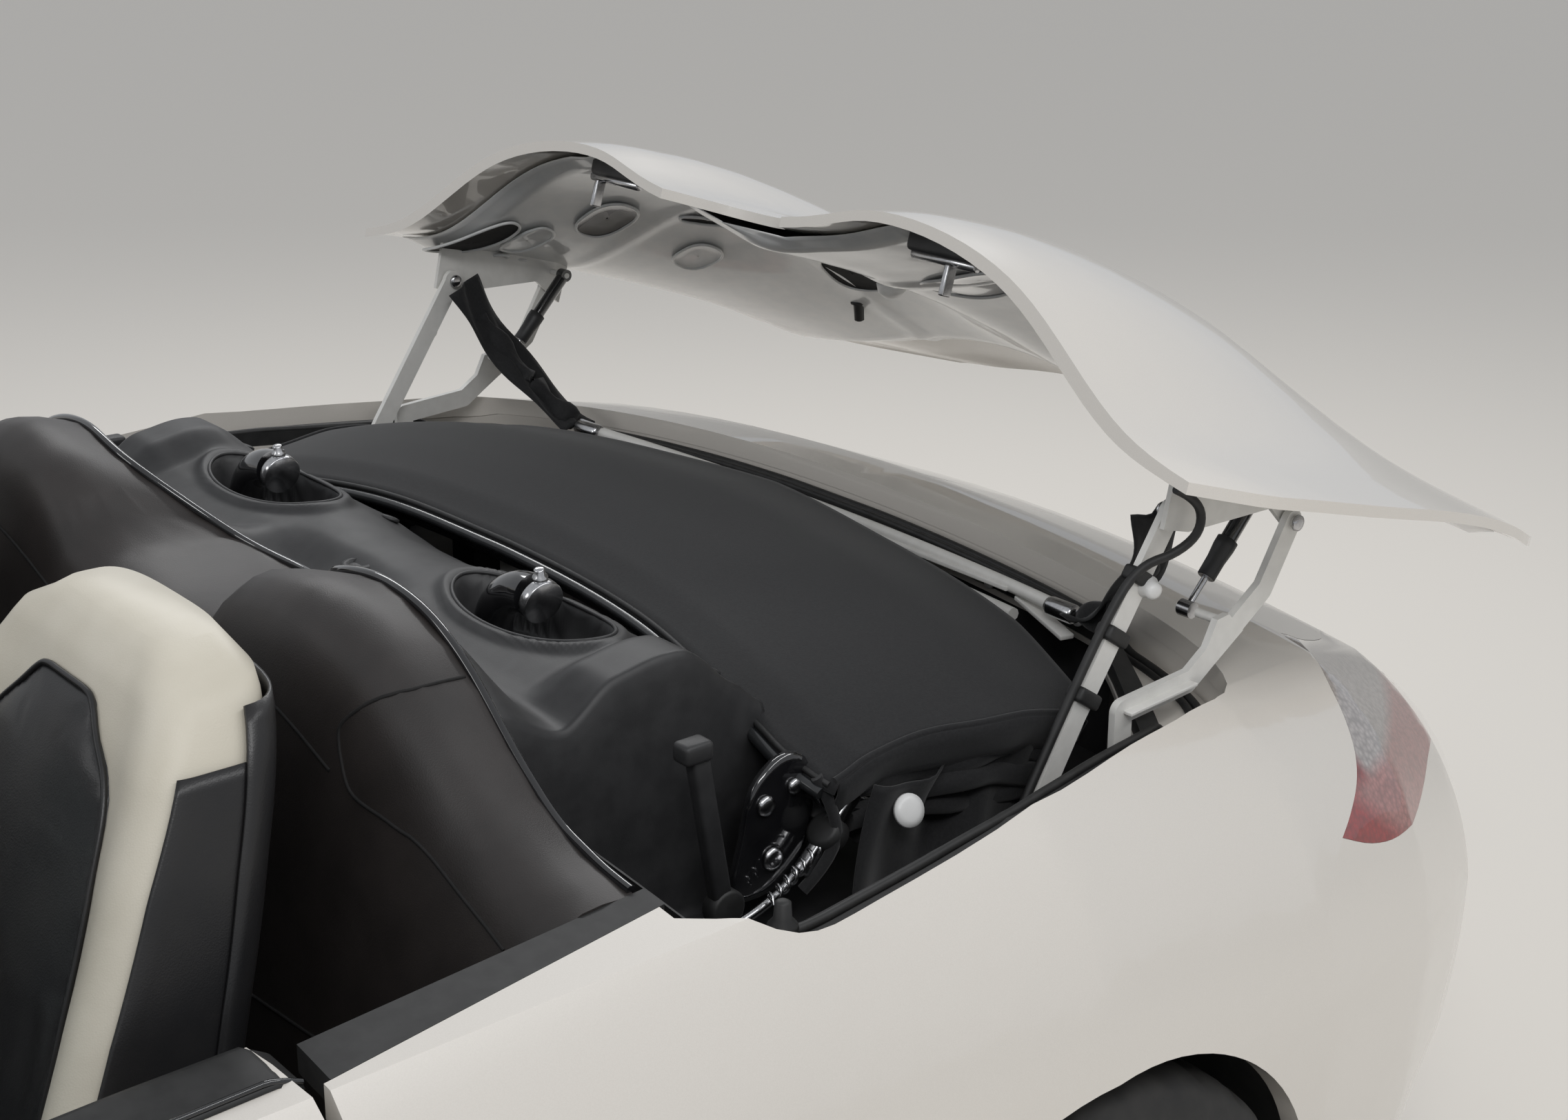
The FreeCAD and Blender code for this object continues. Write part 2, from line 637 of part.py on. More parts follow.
def to_shut(point):
    """A side-plane point of the raised cover, moved with it to the shut pose."""
    angle = math.radians(-BETA)
    dx, dz = point[0] - CORNER_OPEN[0], point[1] - CORNER_OPEN[1]
    x = CORNER_SHUT[0] + dx * math.cos(angle) - dz * math.sin(angle)
    z = CORNER_SHUT[1] + dx * math.sin(angle) + dz * math.cos(angle)
    return (x, z)


def arm_base(head, height):
    """The pivot at a height that lies as far from the head's raised as from its shut place."""
    shut = to_shut(head)
    middle_x, middle_z = (head[0] + shut[0]) / 2, (head[1] + shut[1]) / 2
    dx, dz = shut[0] - head[0], shut[1] - head[1]
    return (middle_x - dz * (height - middle_z) / dx, height)


FRONT_ARM_BASE = arm_base(FRONT_ARM_HEAD, FRONT_PIVOT_Z)
REAR_ARM_BASE = arm_base(REAR_ARM_HEAD, REAR_PIVOT_Z)


TUB_FLOOR_Z = 722.0
TUB_THICK = 8.0
TOP_REST = (-1300.0, -1260.0, 300.0, 350.0)


def corner_wedge(shift):
    """The plan corner that the seal cuts off, moved inwards by a shift."""
    (ax, ay), (bx, by) = SEAL_CORNER
    span = math.hypot(bx - ax, by - ay)
    nx, ny = -(by - ay) / span * -shift, (bx - ax) / span * shift
    a, b = (ax + abs(nx), ay - abs(ny)), (bx + abs(nx), by - abs(ny))
    return plan_prism([a, b, (bx - 300, by - abs(ny)), (bx - 300, ay + 300), (a[0], ay + 300)], 400, 1400)


def ring_block(distance, cut_corner=None):
    """Tall block over the compartment's plan, with its rear corners cut off."""
    block = plan_prism(inset(RIM_PLAN, distance), 500, 1300)
    if cut_corner is not None:
        wedge = corner_wedge(cut_corner)
        block = block.cut(wedge).cut(mirrored(wedge))
    return block


def compartment():
    """Drain channel, rim seal, and the tub with the arms' pivot brackets."""
    front_gap = box(-800, -700, -1000, 1000, 400, 1400)
    inner_edge = SEAL_INSET + SEAL_WIDTH
    channel = ring_block(-CHANNEL_WALL - 1).cut(ring_block(inner_edge + 2, SEAL_WIDTH + 2))
    channel = channel.common(body_core(SKIN + SEAT_FIT)).cut(body_core(CHANNEL_TOP + CHANNEL_WALL))
    trough = ring_block(-1).cut(body_core(CHANNEL_TOP + SEAT_FIT))
    channel = one(channel.cut(trough).cut(front_gap))
    save("rim_channel", [channel])

    seal = ring_block(SEAL_INSET, 0.0).cut(ring_block(inner_edge, SEAL_WIDTH))
    seal = seal.common(body_core(SEAL_TOP)).cut(body_core(CHANNEL_TOP)).cut(front_gap)
    save("rim_seal", [one(seal)])

    corner = TUB_INSET - SEAL_INSET - 14
    walls = ring_block(TUB_INSET, corner).common(box(-1700, -800, -900, 900, TUB_FLOOR_Z, 1000))
    hollow = ring_block(TUB_INSET + TUB_THICK, corner + TUB_THICK)
    hollow = hollow.common(box(-1700, -792, -900, 900, TUB_FLOOR_Z + TUB_THICK, 1100))
    tub = one(walls.cut(hollow).common(body_core(CHANNEL_TOP + CHANNEL_WALL + SEAT_FIT)))
    front_x, front_z = FRONT_ARM_BASE
    rear_x, rear_z = REAR_ARM_BASE
    parts = [tub]
    low = TUB_FLOOR_Z + 2
    rest_top = top_under_z(TOP_REST[0]) - SEAT_FIT
    for side in (1, -1):
        arm_y = FRONT_ARM_Y + ARM_THICK / 2
        plate = box(front_x - 30, front_x + 30, arm_y + 4, arm_y + 12, low, front_z + 22)
        pin = rod((front_x, FRONT_ARM_Y - ARM_THICK, front_z), (front_x, arm_y + 6, front_z), PIN_R)
        rear_y = REAR_ARM_Y + ARM_THICK / 2
        post = box(rear_x - 18, rear_x + 18, rear_y + 5, rear_y + 13, low, rear_z + 14)
        boss = rod((rear_x, rear_y + 1, rear_z), (rear_x, rear_y + 6, rear_z), PIN_R + 4)
        rest = box(TOP_REST[0], TOP_REST[1], TOP_REST[2], TOP_REST[3], low, rest_top)
        for piece in (plate, pin, post, boss, rest):
            parts.append(piece if side == 1 else mirrored(piece))
    save("top_compartment", [one(fused(parts))])


def raise_cover(shape):
    """The shut cover's solid, turned and moved to the raised pose."""
    moved = shape.copy()
    moved.rotate(V(CORNER_SHUT[0], 0, CORNER_SHUT[1]), V(0, -1, 0), BETA)
    moved.translate(V(CORNER_OPEN[0] - CORNER_SHUT[0], 0, CORNER_OPEN[1] - CORNER_SHUT[1]))
    return moved


def cover_points(section, drop):
    """Half profile of the cover: edge, flank foot, flank, bubble and valley."""
    x, edge_y, edge_z, foot_y, foot_z, flank_y, flank_z, top_y, top_z, valley_z = section
    side = 0.8 * drop
    return [
        (edge_y, edge_z - drop),
        (foot_y - side, foot_z - drop),
        (flank_y - side, flank_z - drop),
        (top_y, top_z - drop),
        (0.0, valley_z - drop),
    ]


def curve_edge(x, points, start, end):
    """One smooth edge through (y, z) points, with its directions at both ends."""
    curve = Part.BSplineCurve()
    curve.interpolate(
        Points=[V(x, *p) for p in points], InitialTangent=V(0, *start), FinalTangent=V(0, *end)
    )
    return curve.toShape()


def cover_half(x, points):
    return [curve_edge(x, points, (-1.0, 0.22), (-1.0, 0.0))]


def cover_wire(section):
    x = section[0]
    outer, inner = cover_points(section, 0.0), cover_points(section, COVER_SKIN)
    edges = []
    for points in (outer, inner):
        left = cover_half(x, points)
        right = [mirrored(edge) for edge in left]
        edges += left + right
    edges.append(line_edge(x, outer[0], inner[0]))
    edges.append(line_edge(x, flip(outer[0]), flip(inner[0])))
    return Part.Wire(Part.__sortEdges__(edges))


def arm(path, y, eye_r, pin_holes, width=ARM_WIDTH):
    """Flat arm along a path of (x, z) points, with an eye at each end."""
    y0 = y - ARM_THICK / 2
    pieces = []
    for (ax, az), (bx, bz) in zip(path, path[1:]):
        span = math.hypot(bx - ax, bz - az)
        nx, nz = -(bz - az) / span * width / 2, (bx - ax) / span * width / 2
        outline = [(ax + nx, az + nz), (bx + nx, bz + nz), (bx - nx, bz - nz), (ax - nx, az - nz)]
        pieces.append(side_prism(outline, y0, y0 + ARM_THICK))
    for i, (x, z) in enumerate(path):
        radius = eye_r if i in (0, len(path) - 1) else width / 2
        pieces.append(rod((x, y0, z), (x, y0 + ARM_THICK, z), radius))
    whole = fused(pieces)
    for x, z in pin_holes:
        whole = whole.cut(rod((x, y0 - 1, z), (x, y0 + ARM_THICK + 1, z), PIN_R + SEAT_FIT))
    return one(whole)


def cover_and_linkage():
    """The double-bubble cover, its side rails, both pairs of arms and the struts."""
    rows = smooth_rows(COVER_SECTIONS, COVER_STEPS)
    skin = Part.makeLoft([cover_wire(s) for s in rows], True, True)
    notch_x = COVER_SECTIONS[0][0] + NOTCH_R - NOTCH_DEPTH
    notch = Part.makeCylinder(NOTCH_R, 400, V(notch_x, 0, 900))
    save("tonneau_cover", [raise_cover(one(skin.cut(notch)))])

    head, tail = to_shut(FRONT_ARM_HEAD), to_shut(REAR_ARM_HEAD)
    strut_head = to_shut(STRUT_HEAD)
    y0 = RAIL_Y - RAIL_THICK / 2
    outline = [
        (head[0] + 26, 1000), (head[0] + 20, head[1] - 16), (head[0] - 20, head[1] - 16),
        (tail[0] + 30, tail[1] + 10), (tail[0] - 18, tail[1] - 16), (tail[0] - 24, 1000),
    ]
    rail = side_prism(outline, y0, y0 + RAIL_THICK)
    rail = rail.common(under_cover(COVER_SKIN))
    pins = [
        rod((head[0], FRONT_ARM_Y - ARM_THICK, head[1]), (head[0], RAIL_Y, head[1]), PIN_R),
        rod((tail[0], RAIL_Y, tail[1]), (tail[0], REAR_ARM_Y + ARM_THICK, tail[1]), PIN_R),
        rod((strut_head[0], STRUT_Y - 8, strut_head[1]), (strut_head[0], RAIL_Y, strut_head[1]), 4),
    ]
    rail = raise_cover(one(fused([rail] + pins)))
    save("cover_rails", [rail, mirrored(rail)])

    front = arm([FRONT_ARM_BASE, (-1345, 905), FRONT_ARM_HEAD], FRONT_ARM_Y, 14.0,
                [FRONT_ARM_BASE, FRONT_ARM_HEAD])
    save("front_arms", [front, mirrored(front)])
    rear = arm([REAR_ARM_BASE, (-1392, 906), (-1494, 913), (-1606, 988), REAR_ARM_HEAD], REAR_ARM_Y, 13.0,
               [REAR_ARM_HEAD])
    foot_x, foot_z = STRUT_FOOT
    lug = side_prism([(-1575, 950), (-1520, 915), (-1500, 910), (foot_x + 9, foot_z + 4),
                      (foot_x - 9, foot_z + 6)], REAR_ARM_Y - ARM_THICK / 2, REAR_ARM_Y + ARM_THICK / 2)
    stud = rod((foot_x, STRUT_Y + 14, foot_z), (foot_x, REAR_ARM_Y, foot_z), 5)
    rear = one(fused([rear, lug, stud]))
    save("rear_arms", [rear, mirrored(rear)])
    gas_struts()
    arm_cable()


def cord_tube(points, radius):
    """Round tube along straight runs joined by tangent arcs, each as large as its runs allow."""
    points = [V(*p) for p in points]
    edges, start, radii = [], points[0], []
    for before, here, after in zip(points, points[1:], points[2:]):
        run_in, run_out = here - before, after - here
        half = run_in.getAngle(run_out) / 2
        back = 0.45 * min(run_in.Length, run_out.Length)
        radii.append(round(back / math.tan(half), 1))
        one_way, other_way = V(run_in).normalize(), V(run_out).normalize()
        enter, leave = here - one_way * back, here + other_way * back
        toward = (other_way - one_way).normalize()
        middle = (enter + leave) * 0.5 - toward * (back / math.tan(half) * (1 - math.cos(half)))
        edges.append(Part.LineSegment(start, enter).toShape())
        edges.append(Part.Arc(enter, middle, leave).toShape())
        start = leave
    edges.append(Part.LineSegment(start, points[-1]).toShape())
    print("arc radii", radii)
    path = Part.Wire(edges)
    ring = Part.Wire(Part.makeCircle(radius, points[0], points[1] - points[0]))
    tube_shape = path.makePipeShell([ring], True, True)
    print("tube volume over section times length", tube_shape.Volume / (math.pi * radius ** 2 * path.Length))
    return tube_shape


def arm_cable():
    """Release cable taped along the left front arm, with its loop beside the cover's rail."""
    save("arm_cable", [cord_tube(CABLE_ROUTE, CABLE_R)])


def gas_struts():
    """Each strut's cylinder and the rod that slides in its bore."""
    (hx, hz), (fx, fz) = STRUT_HEAD, STRUT_FOOT
    span = math.hypot(fx - hx, fz - hz)
    ux, uz = (fx - hx) / span, (fz - hz) / span

    def along(distance):
        return (hx + ux * distance, STRUT_Y, hz + uz * distance)

    eye = rod((hx, STRUT_Y - 7, hz), (hx, STRUT_Y + 7, hz), 9)
    body = rod(along(6), along(118), 9).fuse(eye)
    bore = rod(along(26), along(119), 4.6)
    pin_hole = rod((hx, STRUT_Y - 9, hz), (hx, STRUT_Y + 9, hz), 4 + SEAT_FIT)
    cylinder = one(body.cut(bore).cut(pin_hole))
    save("strut_cylinders", [cylinder, mirrored(cylinder)])
    foot = rod((fx, STRUT_Y - 8, fz), (fx, STRUT_Y + 8, fz), 9)
    piston = one(rod(along(66), along(span - 4), 4).fuse(foot))
    save("strut_rods", [piston, mirrored(piston)])


def cover_under_wire(section, drop):
    """Closed wire of the space under the shut cover, to trim what hangs from it."""
    x = section[0]
    points = cover_points(section, drop)
    left = cover_half(x, points)
    edges = left + [mirrored(edge) for edge in left]
    low = 600.0
    edges += [
        line_edge(x, points[0], (points[0][0], low)),
        line_edge(x, (points[0][0], low), (-points[0][0], low)),
        line_edge(x, (-points[0][0], low), flip(points[0])),
    ]
    return Part.Wire(Part.__sortEdges__(edges))


def under_cover(drop):
    """The space under the shut cover, at a distance from its outer face."""
    rows = smooth_rows(COVER_SECTIONS, COVER_STEPS)
    return Part.makeLoft([cover_under_wire(s, drop) for s in rows], True, True)


# Folded top sections. Columns: x, half width, edge z, crown z.
TOP_SECTIONS = [
    (-1090, 560, 916, 960),
    (-1170, 625, 914, 976),
    (-1290, 622, 912, 976),
    (-1400, 590, 908, 966),
    (-1490, 500, 900, 946),
]
TOP_DEPTH = 60.0


def top_under_z(x):
    """Height of the folded top's flat underside at a place along the car."""
    rows = smooth_rows(TOP_SECTIONS, COVER_STEPS)
    for (x0, _, z0, _), (x1, _, z1, _) in zip(rows, rows[1:]):
        if x1 <= x <= x0:
            return z0 + (z1 - z0) * (x - x0) / (x1 - x0) - TOP_DEPTH
    return TOP_SECTIONS[-1][2] - TOP_DEPTH


# Cabin rear trim sections. Columns: y, crest z, rear edge x, rear edge z.
TRIM_SECTIONS = [
    (-TRIM_HALF_W, 918, -760, 926),
    (-650, 936, -762, 934),
    (-580, 972, -764, 960),
    (-440, 1064, -768, 1054),
    (-330, 1092, -768, 1082),
    (-220, 1074, -772, 1060),
    (-120, 1000, -840, 990),
    (0, 985, -862, 976),
    (120, 1000, -840, 990),
    (220, 1074, -772, 1060),
    (330, 1092, -768, 1082),
    (440, 1064, -768, 1054),
    (580, 972, -764, 960),
    (650, 936, -762, 934),
    (TRIM_HALF_W, 918, -760, 926),
]
TRIM_THICK = 24.0
TRIM_KNEE = (-590.0, 640.0)


def top_wire(section):
    x, half, edge_z, crown_z = section
    return Part.Wire([
        arc_edge(x, (half, edge_z), (0, crown_z), (-half, edge_z)),
        line_edge(x, (-half, edge_z), (-half + 20, edge_z - TOP_DEPTH)),
        line_edge(x, (-half + 20, edge_z - TOP_DEPTH), (half - 20, edge_z - TOP_DEPTH)),
        line_edge(x, (half - 20, edge_z - TOP_DEPTH), (half, edge_z)),
    ])


def trim_wire(section):
    y, crest_z, rear_x, rear_z = section
    t = TRIM_THICK
    knee_x, knee_z = TRIM_KNEE
    front = [(knee_x + 30, 330), (knee_x, knee_z), (-640, crest_z - 90), (-690, crest_z), (rear_x, rear_z)]
    back = [(rear_x, rear_z - t), (-690 - 0.4 * t, crest_z - t), (-640 - t, crest_z - 90 - t)]
    back += [(knee_x - t, knee_z), (knee_x + 30 - t, 330)]
    outline = smooth_line(front, LINE_STEPS) + smooth_line(back, LINE_STEPS)
    points = [V(px, y, pz) for px, pz in outline]
    return Part.makePolygon(points + [points[0]])


SEAT_Y = 372.0
COLUMN_R = 26.0
DASH_HALF_W = 640.0
SEAT_BACK_SIDE = [
    (-300, 300), (-235, 440), (-262, 620), (-440, 1085), (-490, 1132),
    (-540, 1130), (-560, 1080), (-400, 600), (-360, 330),
]
SEAT_BASE_SIDE = [(-330, 330), (-330, 230), (200, 230), (235, 300), (225, 420), (170, 445), (-235, 415)]
SEAT_FRONT = [
    (-250, 200), (250, 200), (252, 620), (228, 860), (185, 1060), (120, 1132),
    (-120, 1132), (-185, 1060), (-228, 860), (-252, 620),
]


def seat():
    """One bucket seat about its own centre line, with side bolsters."""
    back = side_prism(SEAT_BACK_SIDE, -300, 300).common(front_prism(SEAT_FRONT, -700, 300))
    base = side_prism(SEAT_BASE_SIDE, -245, 245)
    hollow = side_prism([(-235, 416), (-210, 416), (-300, 700), (-392, 940), (-405, 960), (-290, 620)], -150, 150)
    slot = side_prism([(-200, 395), (300, 395), (300, 600), (-180, 600)], -160, 160)
    runner = box(-260, 160, -200, -170, FLOOR_TOP_Z, 235)
    runners = [runner, mirrored(runner)]
    return one(fused([back.cut(hollow), base.cut(slot)] + runners))


def cabin():
    """Seats, dashboard, console, trim, hoop shelf, hoops and the folded top."""
    left = seat()
    left.translate(V(0, SEAT_Y, 0))
    save("seat_left", [left])
    save("seat_right", [mirrored(left)])

    trim = Part.makeLoft([trim_wire(s) for s in smooth_rows(TRIM_SECTIONS, COVER_STEPS)], True, True)
    save("rear_trim", [one(trim)])

    profile = [
        (-880, 905), (-868, 950), (-884, 985), (-960, 1000), (-1030, 985), (-1072, 940),
        (-1060, 934), (-1022, 968), (-956, 984), (-900, 966), (-890, 905),
    ]
    shelf = side_prism(profile, -600, 600)
    for y in (268, -268):
        shelf = shelf.cut(box(-1030, -905, y - 108, y + 108, 800, 1100))
    apron = box(-892, -880, -600, 600, TUB_FLOOR_Z + TUB_THICK + SEAT_FIT, 906)
    shelf = fused([shelf.common(under_cover(COVER_SKIN + 10)), apron])
    save("hoop_shelf", [one(shelf)])

    hoops = []
    for y in (268, -268):
        bow = Part.makeTorus(76, 22, V(-968, y, 930), V(1, 0, 0), -180, 180, 180)
        legs = [
            rod((-968, y + s * 76, TUB_FLOOR_Z + TUB_THICK + SEAT_FIT), (-968, y + s * 76, 930), 22)
            for s in (1, -1)
        ]
        hoops.append(one(fused([bow] + legs)))
    save("roll_hoops", hoops)

    top = Part.makeLoft([top_wire(s) for s in smooth_rows(TOP_SECTIONS, COVER_STEPS)], True, True)
    save("folded_top", [top])

    dash_side = [
        (715, 560), (715, 862), (620, 872), (430, 838), (352, 776), (360, 700), (420, 610), (480, 545),
    ]
    dash = side_prism(dash_side, -DASH_HALF_W, DASH_HALF_W)
    dash = one(dash.common(body_core(LID_SKIN + SEAT_FIT)))
    column = rod((205, SEAT_Y, 727), (380, SEAT_Y, 660), COLUMN_R)
    save("dashboard", [one(fused([dash, column]))])
    console = side_prism([
        (-420, FLOOR_TOP_Z), (-420, 470), (-200, 480), (0, 440),
        (330, 470), (415, 600), (470, 540), (700, 500), (700, FLOOR_TOP_Z),
    ], -95, 95)
    console = console.cut(side_prism(dash_side, -200, 200))
    save("centre_console", [one(console)])


WINDSCREEN_R = 2400.0
WINDSCREEN_RAKE = (-640.0, 390.0)
WINDSCREEN_FOOT_X = 800.0


def windscreen_slab(depth, shift):
    """Part of a curved sheet that leans back, of a depth along X."""
    x, low = WINDSCREEN_FOOT_X + shift + 74, 860.0
    start_z = low - 40
    rise = WINDSCREEN_RAKE[1] / WINDSCREEN_RAKE[0]
    half = 720.0
    outer, inner = WINDSCREEN_R, WINDSCREEN_R - depth

    def rim(radius, y):
        return V(x - radius_offset(radius, y, outer), y, start_z)

    def radius_offset(radius, y, full):
        return full - math.sqrt(radius * radius - y * y)

    edges = [
        Part.Arc(rim(outer, half), rim(outer, 0), rim(outer, -half)).toShape(),
        Part.LineSegment(rim(outer, -half), rim(inner, -half)).toShape(),
        Part.Arc(rim(inner, -half), rim(inner, 0), rim(inner, half)).toShape(),
        Part.LineSegment(rim(inner, half), rim(outer, half)).toShape(),
    ]
    return Part.Face(Part.Wire(edges)).extrude(V(900 / rise, 0, 900))


def windscreen():
    """Low raked windscreen frame and its glass."""
    outer = [(-690, 800), (-690, 880), (-560, 1256), (-530, 1284), (530, 1284), (560, 1256), (690, 880), (690, 800)]
    inner = [(-628, 925), (-506, 1244), (506, 1244), (628, 925)]
    frame = windscreen_slab(64, 0).common(front_prism(outer, -600, 1100))
    frame = frame.cut(front_prism(inner, -600, 1100)).cut(body_core(0))
    frame = frame.cut(box(-600, 1000, -1000, 1000, 0, 865))
    save("windscreen_frame", [one(frame)])
    glass = windscreen_slab(12, -24).common(front_prism(inset(inner, SEAT_FIT), -600, 1100))
    save("windscreen_glass", [one(glass)])


def wheel(name, x, y, z, tyre_r, width, side):
    """Rim with spokes, hub and brake disc as one solid, and its tyre."""
    half = width / 2 - 6
    c = (x, y, z)

    def ring(y0, y1, outer, inner):
        return tube((x, y + side * y0, z), (x, y + side * y1, z), outer, inner)

    barrel = ring(-half, half, RIM_R - 9, RIM_R - 19)
    flanges = [ring(-half, -half + 8, RIM_R + 10, RIM_R - 19), ring(half - 8, half, RIM_R + 10, RIM_R - 19)]
    face_y = half - 28
    hub = ring(20, face_y, 74, 30 + SEAT_FIT)
    cap = ring(face_y - 8, face_y + 4, 38, 0.5).fuse(rod((x, y + side * (face_y - 8), z), (x, y + side * face_y, z), 34))
    disc = ring(-22, 6, 165, 84)
    hat = ring(-2, 22, 90, 76)
    pieces = [barrel, hub, cap, disc, hat] + flanges
    for i in range(5):
        angle = math.radians(72 * i + 90)
        for offset in (-0.13, 0.13):
            a = angle + offset
            inner = (x + 56 * math.cos(angle + offset * 0.4), z + 56 * math.sin(angle + offset * 0.4))
            outer = (x + (RIM_R - 14) * math.cos(a), z + (RIM_R - 14) * math.sin(a))
            span = math.hypot(outer[0] - inner[0], outer[1] - inner[1])
            nx, nz = -(outer[1] - inner[1]) / span * 13, (outer[0] - inner[0]) / span * 13
            outline = [
                (inner[0] + nx, inner[1] + nz), (outer[0] + nx, outer[1] + nz),
                (outer[0] - nx, outer[1] - nz), (inner[0] - nx, inner[1] - nz),
            ]
            y_a, y_b = sorted((y + side * (face_y - 26), y + side * (face_y - 2)))
            pieces.append(side_prism(outline, y_a, y_b))
    save("wheel_" + name, [one(fused(pieces))])
    section = [
        (width / 2 - 12, RIM_R + 10.3), (width / 2 - 2, RIM_R + 24), (width / 2, RIM_R + 40),
        (width / 2 - 4, tyre_r - 22), (width / 2 - 24, tyre_r - 4), (width / 2 - 50, tyre_r),
    ]
    outline = section + [(-a, r) for a, r in reversed(section)]
    outline += [(-half, RIM_R + 10.3), (-half, RIM_R - 8.7), (half, RIM_R - 8.7), (half, RIM_R + 10.3)]
    clean = []
    for a, r in outline:
        if not clean or math.hypot(clean[-1][0] - a, clean[-1][1] - r) > 0.5:
            clean.append((a, r))
    face = face_of([V(x, y + side * a, z + r) for a, r in clean])
    tyre = face.revolve(V(*c), V(0, 1, 0), 360)
    tyre = tyre.cut(NODES["wheel_" + name])
    save("tyre_" + name, [one(tyre)])


REAR_BEAM_HALF = 50.0


def upright(x, y, z, side, lug):
    """Wheel carrier with its spindle and brake caliper."""

    def across(y0, y1, radius, cx=x, cz=z):
        return rod((cx, y + side * y0, cz), (cx, y + side * y1, cz), radius)

    spindle = across(-60, 34, 30)
    bearing = across(-100, -30, 52)
    caliper_ring = tube((x, y - side * 62, z), (x, y + side * 22, z), 205, 112)
    wedge = side_prism([(x, z), (x + lug * 320, z + 150), (x + lug * 320, z - 150)], y - 200, y + 200)
    slot = tube((x, y - side * 28, z), (x, y + side * 12, z), 172, 60)
    caliper = caliper_ring.common(wedge).cut(slot)
    y_a, y_b = sorted((y - side * 62, y - side * 36))
    web = box(min(x, x + lug * 150), max(x, x + lug * 150), y_a, y_b, z - 26, z + 26)
    return one(fused([spindle, bearing, caliper, web]))


def running_gear():
    """Wheels, uprights, axles and their arms."""
    wheels = [
        ("front_left", FRONT_AXLE_X, FRONT_WHEEL_Y, FRONT_TYRE_R, FRONT_TYRE_W, 1),
        ("front_right", FRONT_AXLE_X, -FRONT_WHEEL_Y, FRONT_TYRE_R, FRONT_TYRE_W, -1),
        ("rear_left", REAR_AXLE_X, REAR_WHEEL_Y, REAR_TYRE_R, REAR_TYRE_W, 1),
        ("rear_right", REAR_AXLE_X, -REAR_WHEEL_Y, REAR_TYRE_R, REAR_TYRE_W, -1),
    ]
    for name, x, y, radius, width, side in wheels:
        wheel(name, x, y, radius, radius, width, side)
    ball_z = 215.0
    for name, side in (("left", 1), ("right", -1)):
        y = side * FRONT_WHEEL_Y
        carrier = upright(FRONT_AXLE_X, y, FRONT_TYRE_R, side, -1)
        y_a, y_b = sorted((side * (STEER_AXIS_Y - 24), side * (STEER_AXIS_Y + 4)))
        leg = box(FRONT_AXLE_X - 20, FRONT_AXLE_X + 20, y_a, y_b, ball_z, FRONT_TYRE_R)
        socket = rod((FRONT_AXLE_X, side * STEER_AXIS_Y, ball_z), (FRONT_AXLE_X, side * STEER_AXIS_Y, ball_z + 30), 22)
        pin_hole = rod((FRONT_AXLE_X, side * STEER_AXIS_Y, ball_z - 1), (FRONT_AXLE_X, side * STEER_AXIS_Y, ball_z + 22), 8 + SEAT_FIT)
        save("knuckle_" + name, [one(fused([carrier, leg, socket]).cut(pin_hole))])

    front = [box(FRONT_AXLE_X - 60, FRONT_AXLE_X + 60, -420, 420, FLOOR_TOP_Z, 236)]
    for side in (1, -1):
        link = plan_prism([
            (FRONT_AXLE_X - 60, side * 415), (FRONT_AXLE_X + 60, side * 415),
            (FRONT_AXLE_X + 18, side * (STEER_AXIS_Y + 12)), (FRONT_AXLE_X - 18, side * (STEER_AXIS_Y + 12)),
        ], ball_z - 26, ball_z - 8)
        pin = rod((FRONT_AXLE_X, side * STEER_AXIS_Y, ball_z - 20), (FRONT_AXLE_X, side * STEER_AXIS_Y, ball_z + 20), 8)
        front += [link, pin]
    save("front_axle", [one(fused(front))])

    rear = []
    for side in (1, -1):
        y = side * REAR_WHEEL_Y
        rear.append(upright(REAR_AXLE_X, y, REAR_TYRE_R, side, 1))
        y_a, y_b = sorted((side * 400, side * (REAR_WHEEL_Y - 90)))
        rear.append(rod((REAR_AXLE_X, side * 300, REAR_TYRE_R), (REAR_AXLE_X, side * (REAR_WHEEL_Y - 60), REAR_TYRE_R), 22))
        rear.append(box(REAR_AXLE_X - 30, REAR_AXLE_X + 30, y_a, y_b, 200, 224))
        rear.append(box(REAR_AXLE_X - 24, REAR_AXLE_X + 24, y_b - 24 if side == 1 else y_a, y_b if side == 1 else y_a + 24, 200, REAR_TYRE_R))
    half = REAR_BEAM_HALF
    rear.append(box(REAR_AXLE_X - half, REAR_AXLE_X + half, -420, 420, FLOOR_TOP_Z, 224))
    rear.append(box(REAR_AXLE_X - 45, REAR_AXLE_X + 45, -300, 300, 200, REAR_TYRE_R + 60))
    save("rear_axle", [one(fused(rear))])

    engine = box(REAR_AXLE_X + REAR_BEAM_HALF + SEAT_FIT, -640, -300, 300, 200, 640)
    save("engine_block", [engine])
    muffler = []
    for side in (1, -1):
        y0, y1 = sorted((side * 380, side * 560))
        can = box(-2060, -1700, y0, y1, 200, 330)
        pipe_in = rod((-1880, side * 300, 290), (-1880, side * 400, 290), 24)
        tip = tube((-2040, side * 470, 262), (-2205, side * 470, 262), 52, 46)
        plug = rod((-2040, side * 470, 262), (-2070, side * 470, 262), 50)
        strap = box(-1890, -1870, y0 + 20, y1 - 20, FLOOR_TOP_Z, 202)
        muffler.append(one(fused([can, tip, plug, strap])))
    save("exhausts", muffler)


# Mirror housing, glass face first. Columns: x, middle y, middle z, half width, half height.
MIRROR_SECTIONS = [
    (500, 885, 968, 94, 58),
    (545, 884, 968, 92, 56),
    (580, 880, 966, 74, 42),
    (602, 874, 964, 40, 20),
]


